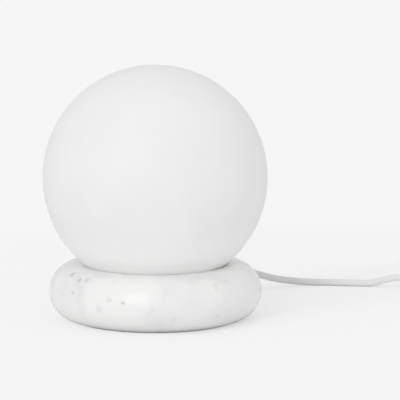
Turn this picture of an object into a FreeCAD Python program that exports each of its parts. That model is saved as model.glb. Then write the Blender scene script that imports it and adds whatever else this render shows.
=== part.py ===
import FreeCAD, Part
import math
import os
import re

import Sketcher

# Glass globe table lamp: an opal glass globe resting in the dished top of a round marble ring.
# Millimetres. Origin at the centre of the ring's underside, +Z up, +Y away from the viewer, +X right.
# Pieces that face the cord's way out are drawn with that way along +X and turned by cord_azimuth.

Vector = FreeCAD.Vector

SIZES = {
    # marble ring
    "ring_mean_radius": 70, "ring_tube_radius": 25, "ring_flat": 0.6,
    "pad_thickness": 1, "pad_margin": 2, "pad_width": 14,
    "well_bite": 2.5, "ledge_width": 5.5, "ledge_rise": 2.6,
    "rebate_inset": 13, "rebate_depth": 2.5, "cord_azimuth": 55, "cord_drop": 3.4,
    # globe
    "globe_radius": 100, "dish_depth": 1.8, "glass_wall": 4, "seat_gap": 0.3,
    "neck_play": 6.5, "neck_wall": 4,
    "gasket_thickness": 1.4, "gasket_lip": 1,
    # plates, screws and clips in the base
    "plate_gap": 0.3, "base_plate_thickness": 2, "gallery_thickness": 1.2, "hole_gap": 0.1,
    "clamp_count": 3, "clamp_turn": 60, "screw_inset": 13, "screw_radius": 2,
    "screw_head_radius": 4, "screw_end": 1, "nut_flats": 7, "nut_thickness": 3.2,
    "clip_count": 3, "clip_gap": 0.6, "clip_width": 7, "clip_thickness": 0.6, "clip_height": 12,
    "clip_lead": 3, "clip_foot": 7.4, "rivet_radius": 1.2, "rivet_head_radius": 2.2, "rivet_head": 0.8,
    # cord grip
    "grip_near": 19, "grip_length": 13, "grip_width": 21, "grip_cover": 5, "grip_split": 1,
    "grip_screw_radius": 1.5, "grip_screw_spacing": 14.4, "grip_head_radius": 2.6, "grip_head": 1.7,
    "sheath_past_grip": 2,
    # nipple
    "nipple_radius": 5, "nipple_wall": 1, "nipple_above": 5.8, "nipple_below": 4.4,
    "nipple_nut_flats": 14, "nipple_nut_thickness": 3, "washer_thickness": 0.8, "washer_radius": 8.5,
    "washer_notch_radius": 0.8, "washer_notches": 12,
    # lampholder
    "holder_radius": 19.2, "holder_wall": 1.8, "boss_radius": 8.5, "cap_floor": 4.5,
    "cap_shoulder": 9, "cap_length": 18, "core_drop": 4, "core_thickness": 6,
    "terminal_radius": 2.2, "terminal_length": 3, "terminal_seat": 2, "terminal_offset": 9.5,
    "sleeve_length": 32, "sleeve_lip_radius": 15.6, "contact_radius": 3.6,
    "thread_pitch": 3.629, "thread_root_radius": 12.15, "rib_radius": 1.05, "thread_gap": 0.25,
    "shell_wall": 1.9, "shell_length": 27, "shell_floor": 0.8, "shell_floor_width": 3,
    "shell_mouth": 5, "mouth_gap": 0.12,
    # light bulb
    "bulb_gap": 0.3, "tip_radius": 4.6, "tip_height": 2.2, "insulator_height": 3.2,
    "bulb_cap_wall": 1.6, "bulb_cap_length": 23.6, "housing_wall": 2, "housing_length": 37.2,
    "housing_foot_radius": 14, "housing_sweep": 90, "collar_length": 9, "collar_wall": 1.2,
    "joint_radius": 27, "dome_radius": 30, "dome_wall": 1.2,
    "board_thickness": 1.6, "board_drop": 2, "board_ledge": 1.6, "driver_gap": 0.45,
    "capacitor_radius": 4.5, "capacitor_length": 14,
    "chip_size": 3, "chip_height": 0.8, "chip_circle_radius": 17, "chip_count": 12,
    # cord and its gland
    "cord_diameter": 6.5, "cord_hole_gap": 0.75, "boot_length": 28, "boot_stem": 9,
    "boot_flange_radius": 5.6, "boot_flange": 1.8, "boot_root_radius": 5, "boot_tip_radius": 3.9,
    "boot_gap": 0.05, "wire_diameter": 2, "wire_spacing": 3.2,
    # switch in the cord
    "switch_start": 256, "switch_across": 155, "switch_length": 52, "switch_width": 24,
    "switch_height": 19, "switch_wall": 2, "switch_corner": 6, "cord_line_height": 9.5,
    "collar_reach": 20, "collar_root_radius": 6, "collar_tip_radius": 3.9,
    "rocker_length": 21, "rocker_width": 11, "rocker_rise": 3.8, "rocker_dip": 1.2,
    "rocker_depth": 5, "rocker_gap": 0.8, "rocker_tilt": 6, "pivot_drop": 1,
    "trunnion_radius": 1.4, "trunnion_length": 2.3, "ear_width": 2.8,
    "case_screw_radius": 1.3, "case_screw_head_radius": 2.4, "case_screw_head": 1.6,
    "case_post_radius": 3.4, "case_screw_spacing": 38,
    "strip_width": 5, "strip_thickness": 0.8, "strip_height": 6.5, "strip_spacing": 16,
    # coil, tie and plug
    "coil_x": 330, "coil_y": 70, "coil_radius": 47, "coil_pitch": 7, "coil_turns": 3,
    "tie_thickness": 0.8, "tie_width": 10, "tie_gap": 0.35,
    "plug_start": 14, "plug_length": 36, "plug_width": 35, "plug_thickness": 13.8,
    "plug_neck": 8.6, "plug_shoulder": 12, "plug_corner": 4,
    "pin_radius": 2, "pin_length": 19, "pin_tip": 1.2, "pin_spacing": 18.6,
}

document = FreeCAD.newDocument("globe_lamp")
sheet = document.addObject("Spreadsheet::Sheet", "Sizes")
for row, (alias, number) in enumerate(SIZES.items(), start=1):
    sheet.set(f"A{row}", alias)
    sheet.set(f"B{row}", str(number))
    sheet.setAlias(f"B{row}", alias)
document.recompute()

NAME = re.compile(r"\b(" + "|".join(SIZES) + r")\b")

CLAMPS = SIZES["clamp_count"]
CLIPS = SIZES["clip_count"]

# Places worked out once from the driving sizes, as expressions.
RING_CENTRE = "(pad_thickness + ring_tube_radius - ring_flat)"
CORD_HEIGHT = f"({RING_CENTRE} - cord_drop)"
LEDGE_HEIGHT = f"({RING_CENTRE} + ledge_rise)"
WELL_RADIUS = "(ring_mean_radius - ring_tube_radius + well_bite)"
BORE_RADIUS = f"({WELL_RADIUS} - ledge_width)"
REBATE_RADIUS = "(ring_mean_radius - rebate_inset)"
PAD_INNER = f"({REBATE_RADIUS} + pad_margin)"
SCREW_CIRCLE = f"({BORE_RADIUS} - screw_inset)"
NECK_RADIUS = f"({WELL_RADIUS} - neck_play)"
NECK_INNER = f"({NECK_RADIUS} - neck_wall)"
SEAT_REACH = "(globe_radius + ring_tube_radius - dish_depth)"
GLOBE_CENTRE = f"({RING_CENTRE} + sqrt({SEAT_REACH} ^ 2 - ring_mean_radius ^ 2))"
NECK_TOP = f"({GLOBE_CENTRE} - sqrt(globe_radius ^ 2 - {NECK_RADIUS} ^ 2))"
NECK_TOP_INSIDE = f"({GLOBE_CENTRE} - sqrt((globe_radius - glass_wall) ^ 2 - {NECK_INNER} ^ 2))"
REBATE_TOP = "(pad_thickness + rebate_depth)"
BASE_PLATE_BOTTOM = f"({REBATE_TOP} - base_plate_thickness)"
GALLERY_TOP = f"({LEDGE_HEIGHT} + gallery_thickness)"
NECK_END = f"({GALLERY_TOP} + gasket_thickness + seat_gap)"
CLIP_RADIUS = f"({NECK_INNER} - clip_gap)"
RIVET_CIRCLE = f"({CLIP_RADIUS} - clip_foot / 2)"
GRIP_CENTRE = "(grip_near + grip_length / 2)"
GRIP_TOP = f"({CORD_HEIGHT} + grip_cover)"
HOLDER_BOTTOM = f"({GALLERY_TOP} + washer_thickness)"
CAP_TOP = f"({HOLDER_BOTTOM} + cap_length)"
CORE_BOTTOM = f"({CAP_TOP} - core_drop)"
CORE_TOP = f"({CORE_BOTTOM} + core_thickness)"
TERMINAL_BOTTOM = f"({CORE_BOTTOM} - terminal_length)"
SLEEVE_TOP = f"({CAP_TOP} + sleeve_length)"
BULB_CAP_TOP = f"({SLEEVE_TOP} + bulb_gap)"
BULB_CAP_BOTTOM = f"({BULB_CAP_TOP} - bulb_cap_length)"
TIP_TOP = f"({BULB_CAP_BOTTOM} - insulator_height)"
TIP_BOTTOM = f"({TIP_TOP} - tip_height)"
JOINT_HEIGHT = f"({BULB_CAP_TOP} + housing_length)"
BOARD_TOP = f"({JOINT_HEIGHT} - board_drop)"
CORD_RADIUS = "(cord_diameter / 2)"
HOLE_RADIUS = f"({CORD_RADIUS} + cord_hole_gap)"
RING_FACE = "(ring_mean_radius + sqrt(ring_tube_radius ^ 2 - cord_drop ^ 2))"
BOOT_START = f"({RING_FACE} + plate_gap)"
BOOT_END = f"({BOOT_START} + boot_length)"
SHEATH_END = "(grip_near - sheath_past_grip)"
SWITCH_END = "(switch_start + switch_length)"
PIVOT_HEIGHT = "(switch_height - switch_wall - pivot_drop)"
COIL_LOW = f"({CORD_RADIUS} + tie_thickness + tie_gap)"


def bound(expression):
    """Write an expression with each size's cell in front of its name."""
    return NAME.sub(r"Sizes.\1", str(expression))


def millimetres(expression):
    """The number that an expression over the sheet's sizes gives."""
    return float(ruler.evalExpression(bound(expression)))


ruler = document.addObject("App::FeaturePython", "Ruler")
PIECES = []


def new_piece(label, kind="PartDesign::Body"):
    """A new sub-part, whose label names its file."""
    piece = document.addObject(kind, label)
    piece.Label = label
    PIECES.append(piece)
    return piece


def place(piece, x=None, y=None, z=None, turn=None):
    """Bind a piece's own placement: its offsets, and its turn about +Z in degrees."""
    if turn is not None:
        piece.Placement = FreeCAD.Placement(Vector(0, 0, 0), FreeCAD.Rotation(Vector(0, 0, 1), 1))
        piece.setExpression("Placement.Rotation.Angle", bound(turn))
    for axis, offset in (("x", x), ("y", y), ("z", z)):
        if offset is not None:
            piece.setExpression(f"Placement.Base.{axis}", bound(offset))


def new_sketch(body, name, plane, offset=None):
    """A sketch on one of the body's own origin planes, moved along its normal by an expression."""
    support = [feature for feature in body.Origin.OriginFeatures if feature.Role == plane][0]
    sketch = body.newObject("Sketcher::SketchObject", name)
    sketch.AttachmentSupport = [(support, "")]
    sketch.MapMode = "FlatFace"
    if offset is not None:
        sketch.setExpression("AttachmentOffset.Base.z", bound(offset))
    return sketch


def pin_point(sketch, element, end, x, y):
    """Hold a point of a sketch at two expressions."""
    for kind, expression, axis in (("DistanceX", x, -2), ("DistanceY", y, -1)):
        number = millimetres(expression)
        if abs(number) < 1e-9:
            sketch.addConstraint(Sketcher.Constraint("PointOnObject", element, end, axis))
            continue
        index = sketch.addConstraint(Sketcher.Constraint(kind, element, end, number))
        sketch.setExpression(f"Constraints[{index}]", bound(expression))


def draw_outline(sketch, corners):
    """Draw a closed outline. A corner is (x, y), or (x, y, radius, side) where the stretch that
    leaves it is an arc whose centre lies on its left (side 1) or right (side -1)."""
    count = len(corners)
    numbers = [(millimetres(corner[0]), millimetres(corner[1])) for corner in corners]
    first = sketch.GeometryCount
    starts = []
    for index, corner in enumerate(corners):
        start = Vector(*numbers[index], 0)
        end = Vector(*numbers[(index + 1) % count], 0)
        if len(corner) == 2:
            element = sketch.addGeometry(Part.LineSegment(start, end))
            starts.append((element, 1, 2))
            continue
        radius = millimetres(corner[2])
        side = corner[3]
        chord = end - start
        left = Vector(-chord.y, chord.x, 0).normalize()
        rise = math.sqrt(max(0.0, radius ** 2 - (chord.Length / 2) ** 2))
        centre = (start + end) / 2 + left * (side * rise)
        head, tail = (start, end) if side > 0 else (end, start)
        low = math.atan2(head.y - centre.y, head.x - centre.x)
        high = math.atan2(tail.y - centre.y, tail.x - centre.x)
        arc = Part.ArcOfCircle(Part.Circle(centre, Vector(0, 0, 1), radius), low, high)
        element = sketch.addGeometry(arc)
        starts.append((element, 1, 2) if side > 0 else (element, 2, 1))
    for index in range(count):
        element, _, end = starts[index]
        following, start, _ = starts[(index + 1) % count]
        sketch.addConstraint(Sketcher.Constraint("Coincident", element, end, following, start))
    for index, corner in enumerate(corners):
        element, start, _ = starts[index]
        pin_point(sketch, element, start, corner[0], corner[1])
        if len(corner) == 4:
            limit = sketch.addConstraint(
                Sketcher.Constraint("Radius", first + index, millimetres(corner[2])))
            sketch.setExpression(f"Constraints[{limit}]", bound(corner[2]))


def draw_circles(sketch, circles):
    """Draw full circles, each (x, y, radius)."""
    for x, y, radius in circles:
        centre = Vector(millimetres(x), millimetres(y), 0)
        circle = Part.Circle(centre, Vector(0, 0, 1), millimetres(radius))
        element = sketch.addGeometry(circle)
        limit = sketch.addConstraint(
            Sketcher.Constraint("Radius", element, millimetres(radius)))
        sketch.setExpression(f"Constraints[{limit}]", bound(radius))
        pin_point(sketch, element, 3, x, y)


def revolve(body, name, corners, kind="PartDesign::Revolution", across=None, along=None):
    """Turn an outline drawn in the XZ plane about +Z, about an upright line at x = across,
    or about a level line at z = along."""
    sketch = new_sketch(body, f"{name}_outline", "XZ_Plane")
    draw_outline(sketch, corners)
    axis = "V_Axis"
    if across is not None or along is not None:
        ends = [(across, "0"), (across, "10")] if along is None else [("0", along), ("10", along)]
        numbers = [Vector(millimetres(x), millimetres(y), 0) for x, y in ends]
        line = sketch.addGeometry(Part.LineSegment(*numbers), True)
        for end, (x, y) in enumerate(ends, start=1):
            pin_point(sketch, line, end, x, y)
        axis = "Axis0"
    feature = body.newObject(kind, name)
    feature.Profile = sketch
    feature.ReferenceAxis = (sketch, [axis])
    feature.Angle = 360
    return feature


def repeat(body, feature, count, angle=360):
    """Repeat a feature about the lamp's axis."""
    axis = [part for part in body.Origin.OriginFeatures if part.Role == "Z_Axis"][0]
    pattern = body.newObject("PartDesign::PolarPattern", f"{feature.Name}_pattern")
    pattern.Originals = [feature]
    pattern.Axis = (axis, [""])
    pattern.Angle = angle
    pattern.setExpression("Occurrences", bound(count))
    body.Tip = pattern
    return pattern


def pad(body, name, height, base=0, corners=None, circles=None, plane="XY_Plane", both_ways=False):
    """Raise an outline or circles to a height above an origin plane."""
    sketch = new_sketch(body, f"{name}_outline", plane, base)
    if corners:
        draw_outline(sketch, corners)
    if circles:
        draw_circles(sketch, circles)
    feature = body.newObject("PartDesign::Pad", name)
    feature.Profile = sketch
    feature.setExpression("Length", bound(height))
    if both_ways:
        feature.SideType = "Symmetric"
    return feature


def cut(body, name, depth=None, base=0, corners=None, circles=None, plane="XY_Plane", up=True,
        both_ways=False):
    """Cut an outline or circles: right through with no depth, or to a depth along the plane's
    normal (up), against it, or half to each side."""
    sketch = new_sketch(body, f"{name}_outline", plane, base)
    if corners:
        draw_outline(sketch, corners)
    if circles:
        draw_circles(sketch, circles)
    feature = body.newObject("PartDesign::Pocket", name)
    feature.Profile = sketch
    if depth is None:
        feature.Type = "ThroughAll"
        feature.SideType = "Symmetric"
        return feature
    feature.setExpression("Length", bound(depth))
    if both_ways:
        feature.SideType = "Symmetric"
    else:
        feature.Reversed = up
    return feature


def around(radius, count, start, hole):
    """Circles spaced evenly on a pitch circle, from a start angle in degrees."""
    angles = [f"(({start} + {360 * index / count:g}) * 1deg)" for index in range(count)]
    return [(f"{radius} * cos({angle})", f"{radius} * sin({angle})", hole) for angle in angles]


def rectangle(x_low, x_high, y_low, y_high):
    """The four corners of a rectangle, anticlockwise."""
    return [(x_low, y_low), (x_high, y_low), (x_high, y_high), (x_low, y_high)]


def rounded_rectangle(width, depth, corner):
    """A rectangle centred on the sketch's origin, its corners rounded."""
    x, y, inner_x, inner_y = (f"({width} / 2)", f"({depth} / 2)",
                              f"({width} / 2 - {corner})", f"({depth} / 2 - {corner})")
    return [(f"-{inner_x}", f"-{y}"), (inner_x, f"-{y}", corner, 1), (x, f"-{inner_y}"),
            (x, inner_y, corner, 1), (inner_x, y), (f"-{inner_x}", y, corner, 1),
            (f"-{x}", inner_y), (f"-{x}", f"-{inner_y}", corner, 1)]


def hexagon(flats, x="0"):
    """The six corners of a nut."""
    return [(f"{x} + {flats} / sqrt(3) * cos({60 * side} * 1deg)",
             f"{flats} / sqrt(3) * sin({60 * side} * 1deg)")
            for side in range(6)]


def tube(label, inner, outer, bottom, top):
    """A plain turned ring."""
    body = new_piece(label)
    revolve(body, f"{label}_turn", rectangle(inner, outer, bottom, top))
    return body


# ---------------------------------------------------------------- base


def make_marble_ring():
    """The stone ring: a round torus, cut flat below and dished to the globe above."""
    body = new_piece("marble_ring")
    flat_radius = ("(ring_mean_radius + sqrt(ring_tube_radius ^ 2"
                   " - (ring_tube_radius - ring_flat) ^ 2))")
    lip_height = (f"({RING_CENTRE} + sqrt(ring_tube_radius ^ 2"
                  " - (ring_tube_radius - well_bite) ^ 2))")
    revolve(body, "stone", [
        (BORE_RADIUS, REBATE_TOP),
        (REBATE_RADIUS, REBATE_TOP),
        (REBATE_RADIUS, "pad_thickness"),
        (flat_radius, "pad_thickness", "ring_tube_radius", 1),
        ("ring_mean_radius + ring_tube_radius", RING_CENTRE, "ring_tube_radius", 1),
        (WELL_RADIUS, lip_height),
        (WELL_RADIUS, LEDGE_HEIGHT),
        (BORE_RADIUS, LEDGE_HEIGHT)])
    seat_radius = "(globe_radius + seat_gap)"
    revolve(body, "dish", [
        ("0", f"{GLOBE_CENTRE} - {seat_radius}", seat_radius, 1),
        (seat_radius, GLOBE_CENTRE),
        ("0", GLOBE_CENTRE)], "PartDesign::Groove")
    cut(body, "cord_hole", depth="ring_mean_radius + 2 * ring_tube_radius", plane="YZ_Plane",
        circles=[("0", CORD_HEIGHT, HOLE_RADIUS)])
    place(body, turn="cord_azimuth")


def make_base_plate():
    """The steel plate let into the stone's underside, with its countersinks and grip holes."""
    body = new_piece("base_plate")
    pad(body, "plate", "base_plate_thickness", BASE_PLATE_BOTTOM,
        circles=[("0", "0", f"{REBATE_RADIUS} - plate_gap")])
    sink = revolve(body, "countersink", [
        (SCREW_CIRCLE, BASE_PLATE_BOTTOM),
        (f"{SCREW_CIRCLE} + screw_head_radius + hole_gap", BASE_PLATE_BOTTOM),
        (f"{SCREW_CIRCLE} + screw_radius + hole_gap", REBATE_TOP),
        (SCREW_CIRCLE, REBATE_TOP)], "PartDesign::Groove", across=SCREW_CIRCLE)
    document.recompute()
    repeat(body, sink, "clamp_count")
    cosine = "cos(clamp_turn * 1deg)"
    sine = "sin(clamp_turn * 1deg)"
    turned_back = [(f"{GRIP_CENTRE} * {cosine} + {side} * grip_screw_spacing / 2 * {sine}",
                    f"{side} * grip_screw_spacing / 2 * {cosine} - {GRIP_CENTRE} * {sine}",
                    "grip_screw_radius + hole_gap") for side in (1, -1)]
    cut(body, "grip_holes", circles=turned_back)
    place(body, turn="cord_azimuth + clamp_turn")


def make_gallery_plate():
    """The plate on the stone's inner ledge, which carries the lampholder and the clips."""
    body = new_piece("gallery_plate")
    pad(body, "disc", "gallery_thickness", LEDGE_HEIGHT,
        circles=[("0", "0", f"{WELL_RADIUS} - plate_gap")])
    cut(body, "centre_hole", circles=[("0", "0", "nipple_radius + hole_gap")])
    cut(body, "screw_holes",
        circles=around(SCREW_CIRCLE, CLAMPS, "clamp_turn", "screw_radius + hole_gap"))
    cut(body, "rivet_holes", circles=around(RIVET_CIRCLE, CLIPS, "0", "rivet_radius + hole_gap"))
    place(body, turn="cord_azimuth")


def make_clamp_hardware():
    """The long countersunk screws and nuts that draw both plates on to the stone."""
    centre = SCREW_CIRCLE
    end_height = f"({GALLERY_TOP} + nut_thickness + screw_end)"
    screws = new_piece("clamp_screws")
    screw = revolve(screws, "clamp_screw", [
        (centre, BASE_PLATE_BOTTOM),
        (f"{centre} + screw_head_radius", BASE_PLATE_BOTTOM),
        (f"{centre} + screw_radius", REBATE_TOP),
        (f"{centre} + screw_radius", end_height),
        (centre, end_height)], across=centre)
    document.recompute()
    repeat(screws, screw, "clamp_count")
    nuts = new_piece("clamp_nuts")
    nut = pad(nuts, "clamp_nut", "nut_thickness", GALLERY_TOP, corners=hexagon("nut_flats", centre))
    document.recompute()
    repeat(nuts, nut, "clamp_count")
    cut(nuts, "nut_bores", circles=around(centre, CLAMPS, "0", "screw_radius + hole_gap"))
    for piece in (screws, nuts):
        place(piece, turn="cord_azimuth + clamp_turn")


def make_globe_seat():
    """The soft ring under the glass neck, and the riveted spring clips that centre it."""
    tube("globe_gasket", NECK_INNER, f"{NECK_RADIUS} + gasket_lip",
         GALLERY_TOP, f"({GALLERY_TOP} + gasket_thickness)")
    foot_near = f"({CLIP_RADIUS} - clip_foot)"
    inside = f"({CLIP_RADIUS} - clip_thickness)"
    foot_top = f"({GALLERY_TOP} + clip_thickness)"
    bend = f"({GALLERY_TOP} + clip_height - clip_lead)"
    tip = f"({GALLERY_TOP} + clip_height)"
    for number in range(CLIPS):
        clip = new_piece(f"spring_clip_{number + 1}")
        pad(clip, "strip", "clip_width", plane="XZ_Plane", both_ways=True, corners=[
            (foot_near, GALLERY_TOP),
            (CLIP_RADIUS, GALLERY_TOP),
            (CLIP_RADIUS, bend),
            (f"{CLIP_RADIUS} - clip_lead / 2", tip),
            (f"{inside} - clip_lead / 2", tip),
            (inside, bend),
            (inside, foot_top),
            (foot_near, foot_top)])
        cut(clip, "rivet_hole", circles=[(RIVET_CIRCLE, "0", "rivet_radius + hole_gap")])
        place(clip, turn=f"cord_azimuth + {number} * 360 / clip_count")
    rivets = new_piece("clip_rivets")
    rivet = revolve(rivets, "rivet", [
        (RIVET_CIRCLE, f"{LEDGE_HEIGHT} - rivet_head"),
        (f"{RIVET_CIRCLE} + rivet_head_radius", f"{LEDGE_HEIGHT} - rivet_head"),
        (f"{RIVET_CIRCLE} + rivet_head_radius", LEDGE_HEIGHT),
        (f"{RIVET_CIRCLE} + rivet_radius", LEDGE_HEIGHT),
        (f"{RIVET_CIRCLE} + rivet_radius", foot_top),
        (f"{RIVET_CIRCLE} + rivet_head_radius", foot_top),
        (f"{RIVET_CIRCLE} + rivet_head_radius", f"{foot_top} + rivet_head / 2"),
        (f"{RIVET_CIRCLE} + rivet_radius", f"{foot_top} + rivet_head"),
        (RIVET_CIRCLE, f"{foot_top} + rivet_head")], across=RIVET_CIRCLE)
    document.recompute()
    repeat(rivets, rivet, "clip_count")
    place(rivets, turn="cord_azimuth")


def make_cord_grip():
    """The tower that holds the cord inside the ring: block, cover and the two screws through both."""
    holes = [(GRIP_CENTRE, f"{side} * grip_screw_spacing / 2", "grip_screw_radius + hole_gap")
             for side in (1, -1)]
    heads = [(x, y, "grip_head_radius") for x, y, _ in holes]
    footprint = rectangle("grip_near", "grip_near + grip_length", "-grip_width / 2", "grip_width / 2")
    channel = [("0", CORD_HEIGHT, f"{CORD_RADIUS} + boot_gap")]
    spans = {"cord_grip_block": (REBATE_TOP, f"{CORD_HEIGHT} - grip_split / 2"),
             "cord_grip_cover": (f"{CORD_HEIGHT} + grip_split / 2", GRIP_TOP)}
    for label, (low, high) in spans.items():
        body = new_piece(label)
        pad(body, "block", f"{high} - ({low})", low, corners=footprint)
        cut(body, "channel", circles=channel, plane="YZ_Plane")
        cut(body, "screw_holes", circles=holes)
        if label == "cord_grip_cover":
            cut(body, "head_recess", depth="grip_head", base=GRIP_TOP, up=False,
                circles=[(x, y, f"{head} + hole_gap") for x, y, head in heads])
        place(body, turn="cord_azimuth")
    screws = new_piece("cord_grip_screws")
    pad(screws, "shanks", f"{GRIP_TOP} - grip_head - {BASE_PLATE_BOTTOM}", BASE_PLATE_BOTTOM,
        circles=[(x, y, "grip_screw_radius") for x, y, _ in holes])
    pad(screws, "heads", "grip_head", f"{GRIP_TOP} - grip_head", circles=heads)
    place(screws, turn="cord_azimuth")


def make_gland():
    """The sheathed cord inside the base, and the moulded sleeve where it leaves the stone."""
    cord = new_piece("inner_cord")
    pad(cord, "sheath", f"{BOOT_START} - {SHEATH_END}", SHEATH_END, plane="YZ_Plane",
        circles=[("0", CORD_HEIGHT, CORD_RADIUS)])
    place(cord, turn="cord_azimuth")
    boot = new_piece("cord_boot")
    profile = [
        (f"{BOOT_START} - boot_stem", f"{CORD_RADIUS} + boot_gap"),
        (BOOT_START, f"{CORD_RADIUS} + boot_gap"),
        (BOOT_START, "0"),
        (BOOT_END, "0"),
        (BOOT_END, "boot_tip_radius"),
        (f"{BOOT_START} + boot_flange", "boot_root_radius"),
        (f"{BOOT_START} + boot_flange", "boot_flange_radius"),
        (BOOT_START, "boot_flange_radius"),
        (BOOT_START, f"{HOLE_RADIUS} - hole_gap"),
        (f"{BOOT_START} - boot_stem", f"{HOLE_RADIUS} - hole_gap")]
    revolve(boot, "sleeve", [(x, f"{CORD_HEIGHT} + {radius}") for x, radius in profile],
            along=CORD_HEIGHT)
    place(boot, turn="cord_azimuth")


# ---------------------------------------------------------------- lampholder


def make_nipple():
    """The threaded tube through the gallery plate, its nut below and toothed washer above."""
    tube("nipple", "nipple_radius - nipple_wall", "nipple_radius",
         f"{LEDGE_HEIGHT} - nipple_below", f"({GALLERY_TOP} + nipple_above)")
    nut = new_piece("nipple_nut")
    pad(nut, "hexagon", "nipple_nut_thickness", f"{LEDGE_HEIGHT} - nipple_nut_thickness",
        corners=hexagon("nipple_nut_flats"))
    cut(nut, "bore", circles=[("0", "0", "nipple_radius + hole_gap")])
    washer = new_piece("lock_washer")
    pad(washer, "ring", "washer_thickness", GALLERY_TOP, circles=[("0", "0", "washer_radius")])
    cut(washer, "bore", circles=[("0", "0", "nipple_radius + hole_gap")])
    notch = cut(washer, "notch", circles=[("washer_radius", "0", "washer_notch_radius")])
    document.recompute()
    repeat(washer, notch, "washer_notches")


def make_holder_shells():
    """The lampholder's cap below and the sleeve that screws on to it."""
    inner = "(holder_radius - holder_wall)"
    bore = "(nipple_radius + hole_gap)"
    cap = new_piece("holder_cap")
    revolve(cap, "cap", [
        (bore, HOLDER_BOTTOM),
        ("boss_radius", HOLDER_BOTTOM),
        ("boss_radius", f"{HOLDER_BOTTOM} + holder_wall"),
        ("holder_radius", f"{HOLDER_BOTTOM} + cap_shoulder"),
        ("holder_radius", CAP_TOP),
        (inner, CAP_TOP),
        (inner, f"{HOLDER_BOTTOM} + cap_shoulder + holder_wall"),
        ("boss_radius", f"{HOLDER_BOTTOM} + cap_floor"),
        (bore, f"{HOLDER_BOTTOM} + cap_floor")])
    sleeve = new_piece("holder_sleeve")
    revolve(sleeve, "sleeve", [
        (inner, CAP_TOP),
        ("holder_radius", CAP_TOP),
        ("holder_radius", f"{SLEEVE_TOP} - holder_wall", "holder_wall", 1),
        ("holder_radius - holder_wall", SLEEVE_TOP),
        ("sleeve_lip_radius", SLEEVE_TOP),
        ("sleeve_lip_radius", f"{SLEEVE_TOP} - holder_wall"),
        (inner, f"{SLEEVE_TOP} - 2 * holder_wall")])


def make_holder_inside():
    """The insulating core with its terminals, and the button that feeds the bulb's tip."""
    core_radius = "(holder_radius - holder_wall - hole_gap)"
    core = new_piece("holder_core")
    pad(core, "core", "core_thickness", CORE_BOTTOM, circles=[("0", "0", core_radius)])
    sides = [("0", "terminal_offset"), ("0", "-terminal_offset")]
    cut(core, "terminal_seats", depth="terminal_seat", base=CORE_BOTTOM,
        circles=[(x, y, "terminal_radius + hole_gap") for x, y in sides])
    place(core, turn="cord_azimuth")
    terminals = new_piece("terminals")
    pad(terminals, "posts", "terminal_length + terminal_seat", TERMINAL_BOTTOM,
        circles=[(x, y, "terminal_radius") for x, y in sides])
    place(terminals, turn="cord_azimuth")
    button = new_piece("centre_contact")
    top = f"({TIP_BOTTOM} - seat_gap)"
    revolve(button, "button", [
        ("0", CORE_TOP),
        ("contact_radius", CORE_TOP),
        ("contact_radius", f"{CORE_TOP} + ({top} - {CORE_TOP}) / 2"),
        ("contact_radius / 2", top),
        ("0", top)])


def helical_rib(radius, rib_radius, pitch, turns, bottom):
    """A round rib wound right-handed about +Z, its centreline starting over +X."""
    path = Part.makeLongHelix(pitch, pitch * turns, radius)
    path.translate(Vector(0, 0, bottom))
    slope = math.atan2(pitch, 2 * math.pi * radius)
    along = Vector(0, math.cos(slope), math.sin(slope))
    section = Part.Wire([Part.Circle(Vector(radius, 0, bottom), along, rib_radius).toShape()])
    return Part.Wire(path.Edges).makePipeShell([section], True, True)


def ring_solid(inner, outer, bottom, top):
    """A plain ring about +Z."""
    outside = Part.makeCylinder(outer, top - bottom, Vector(0, 0, bottom))
    return outside.cut(Part.makeCylinder(inner, top - bottom, Vector(0, 0, bottom)))


def make_thread_pair():
    """The bulb's rolled cap and the holder's shell, whose round threads run in each other."""
    pitch = millimetres("thread_pitch")
    root = millimetres("thread_root_radius")
    rib = millimetres("rib_radius")
    gap = millimetres("thread_gap")
    cap_bottom = millimetres(BULB_CAP_BOTTOM)
    cap_top = millimetres(BULB_CAP_TOP)
    thread_start = cap_bottom + rib + gap
    turns = math.floor((cap_top - cap_bottom) / pitch - 1)
    cap = new_piece("bulb_cap", "Part::Feature")
    cap.Shape = ring_solid(root - millimetres("bulb_cap_wall"), root, cap_bottom, cap_top).fuse(
        helical_rib(root, rib, pitch, turns, thread_start))

    floor = millimetres(CORE_TOP)
    floor_top = floor + millimetres("shell_floor")
    shell_top = floor + millimetres("shell_length")
    outer = root + gap + millimetres("shell_wall")
    spare = math.ceil((thread_start - floor_top) / pitch) - 1
    groove = helical_rib(root + gap / 5, rib + gap, pitch,
                         math.ceil((shell_top - thread_start) / pitch) + spare + 1,
                         thread_start - spare * pitch)
    shell = new_piece("screw_shell", "Part::Feature")
    mouth_radius = root + rib + gap + millimetres("mouth_gap")
    mouth_bottom = shell_top - millimetres("shell_mouth")
    mouth = Part.makeCylinder(mouth_radius, shell_top - mouth_bottom, Vector(0, 0, mouth_bottom))
    bare = ring_solid(root + gap, outer, floor_top, shell_top).cut(mouth).cut(groove)
    base = ring_solid(root - millimetres("shell_floor_width"), outer, floor, floor_top)
    shell.Shape = bare.fuse(base)


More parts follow.
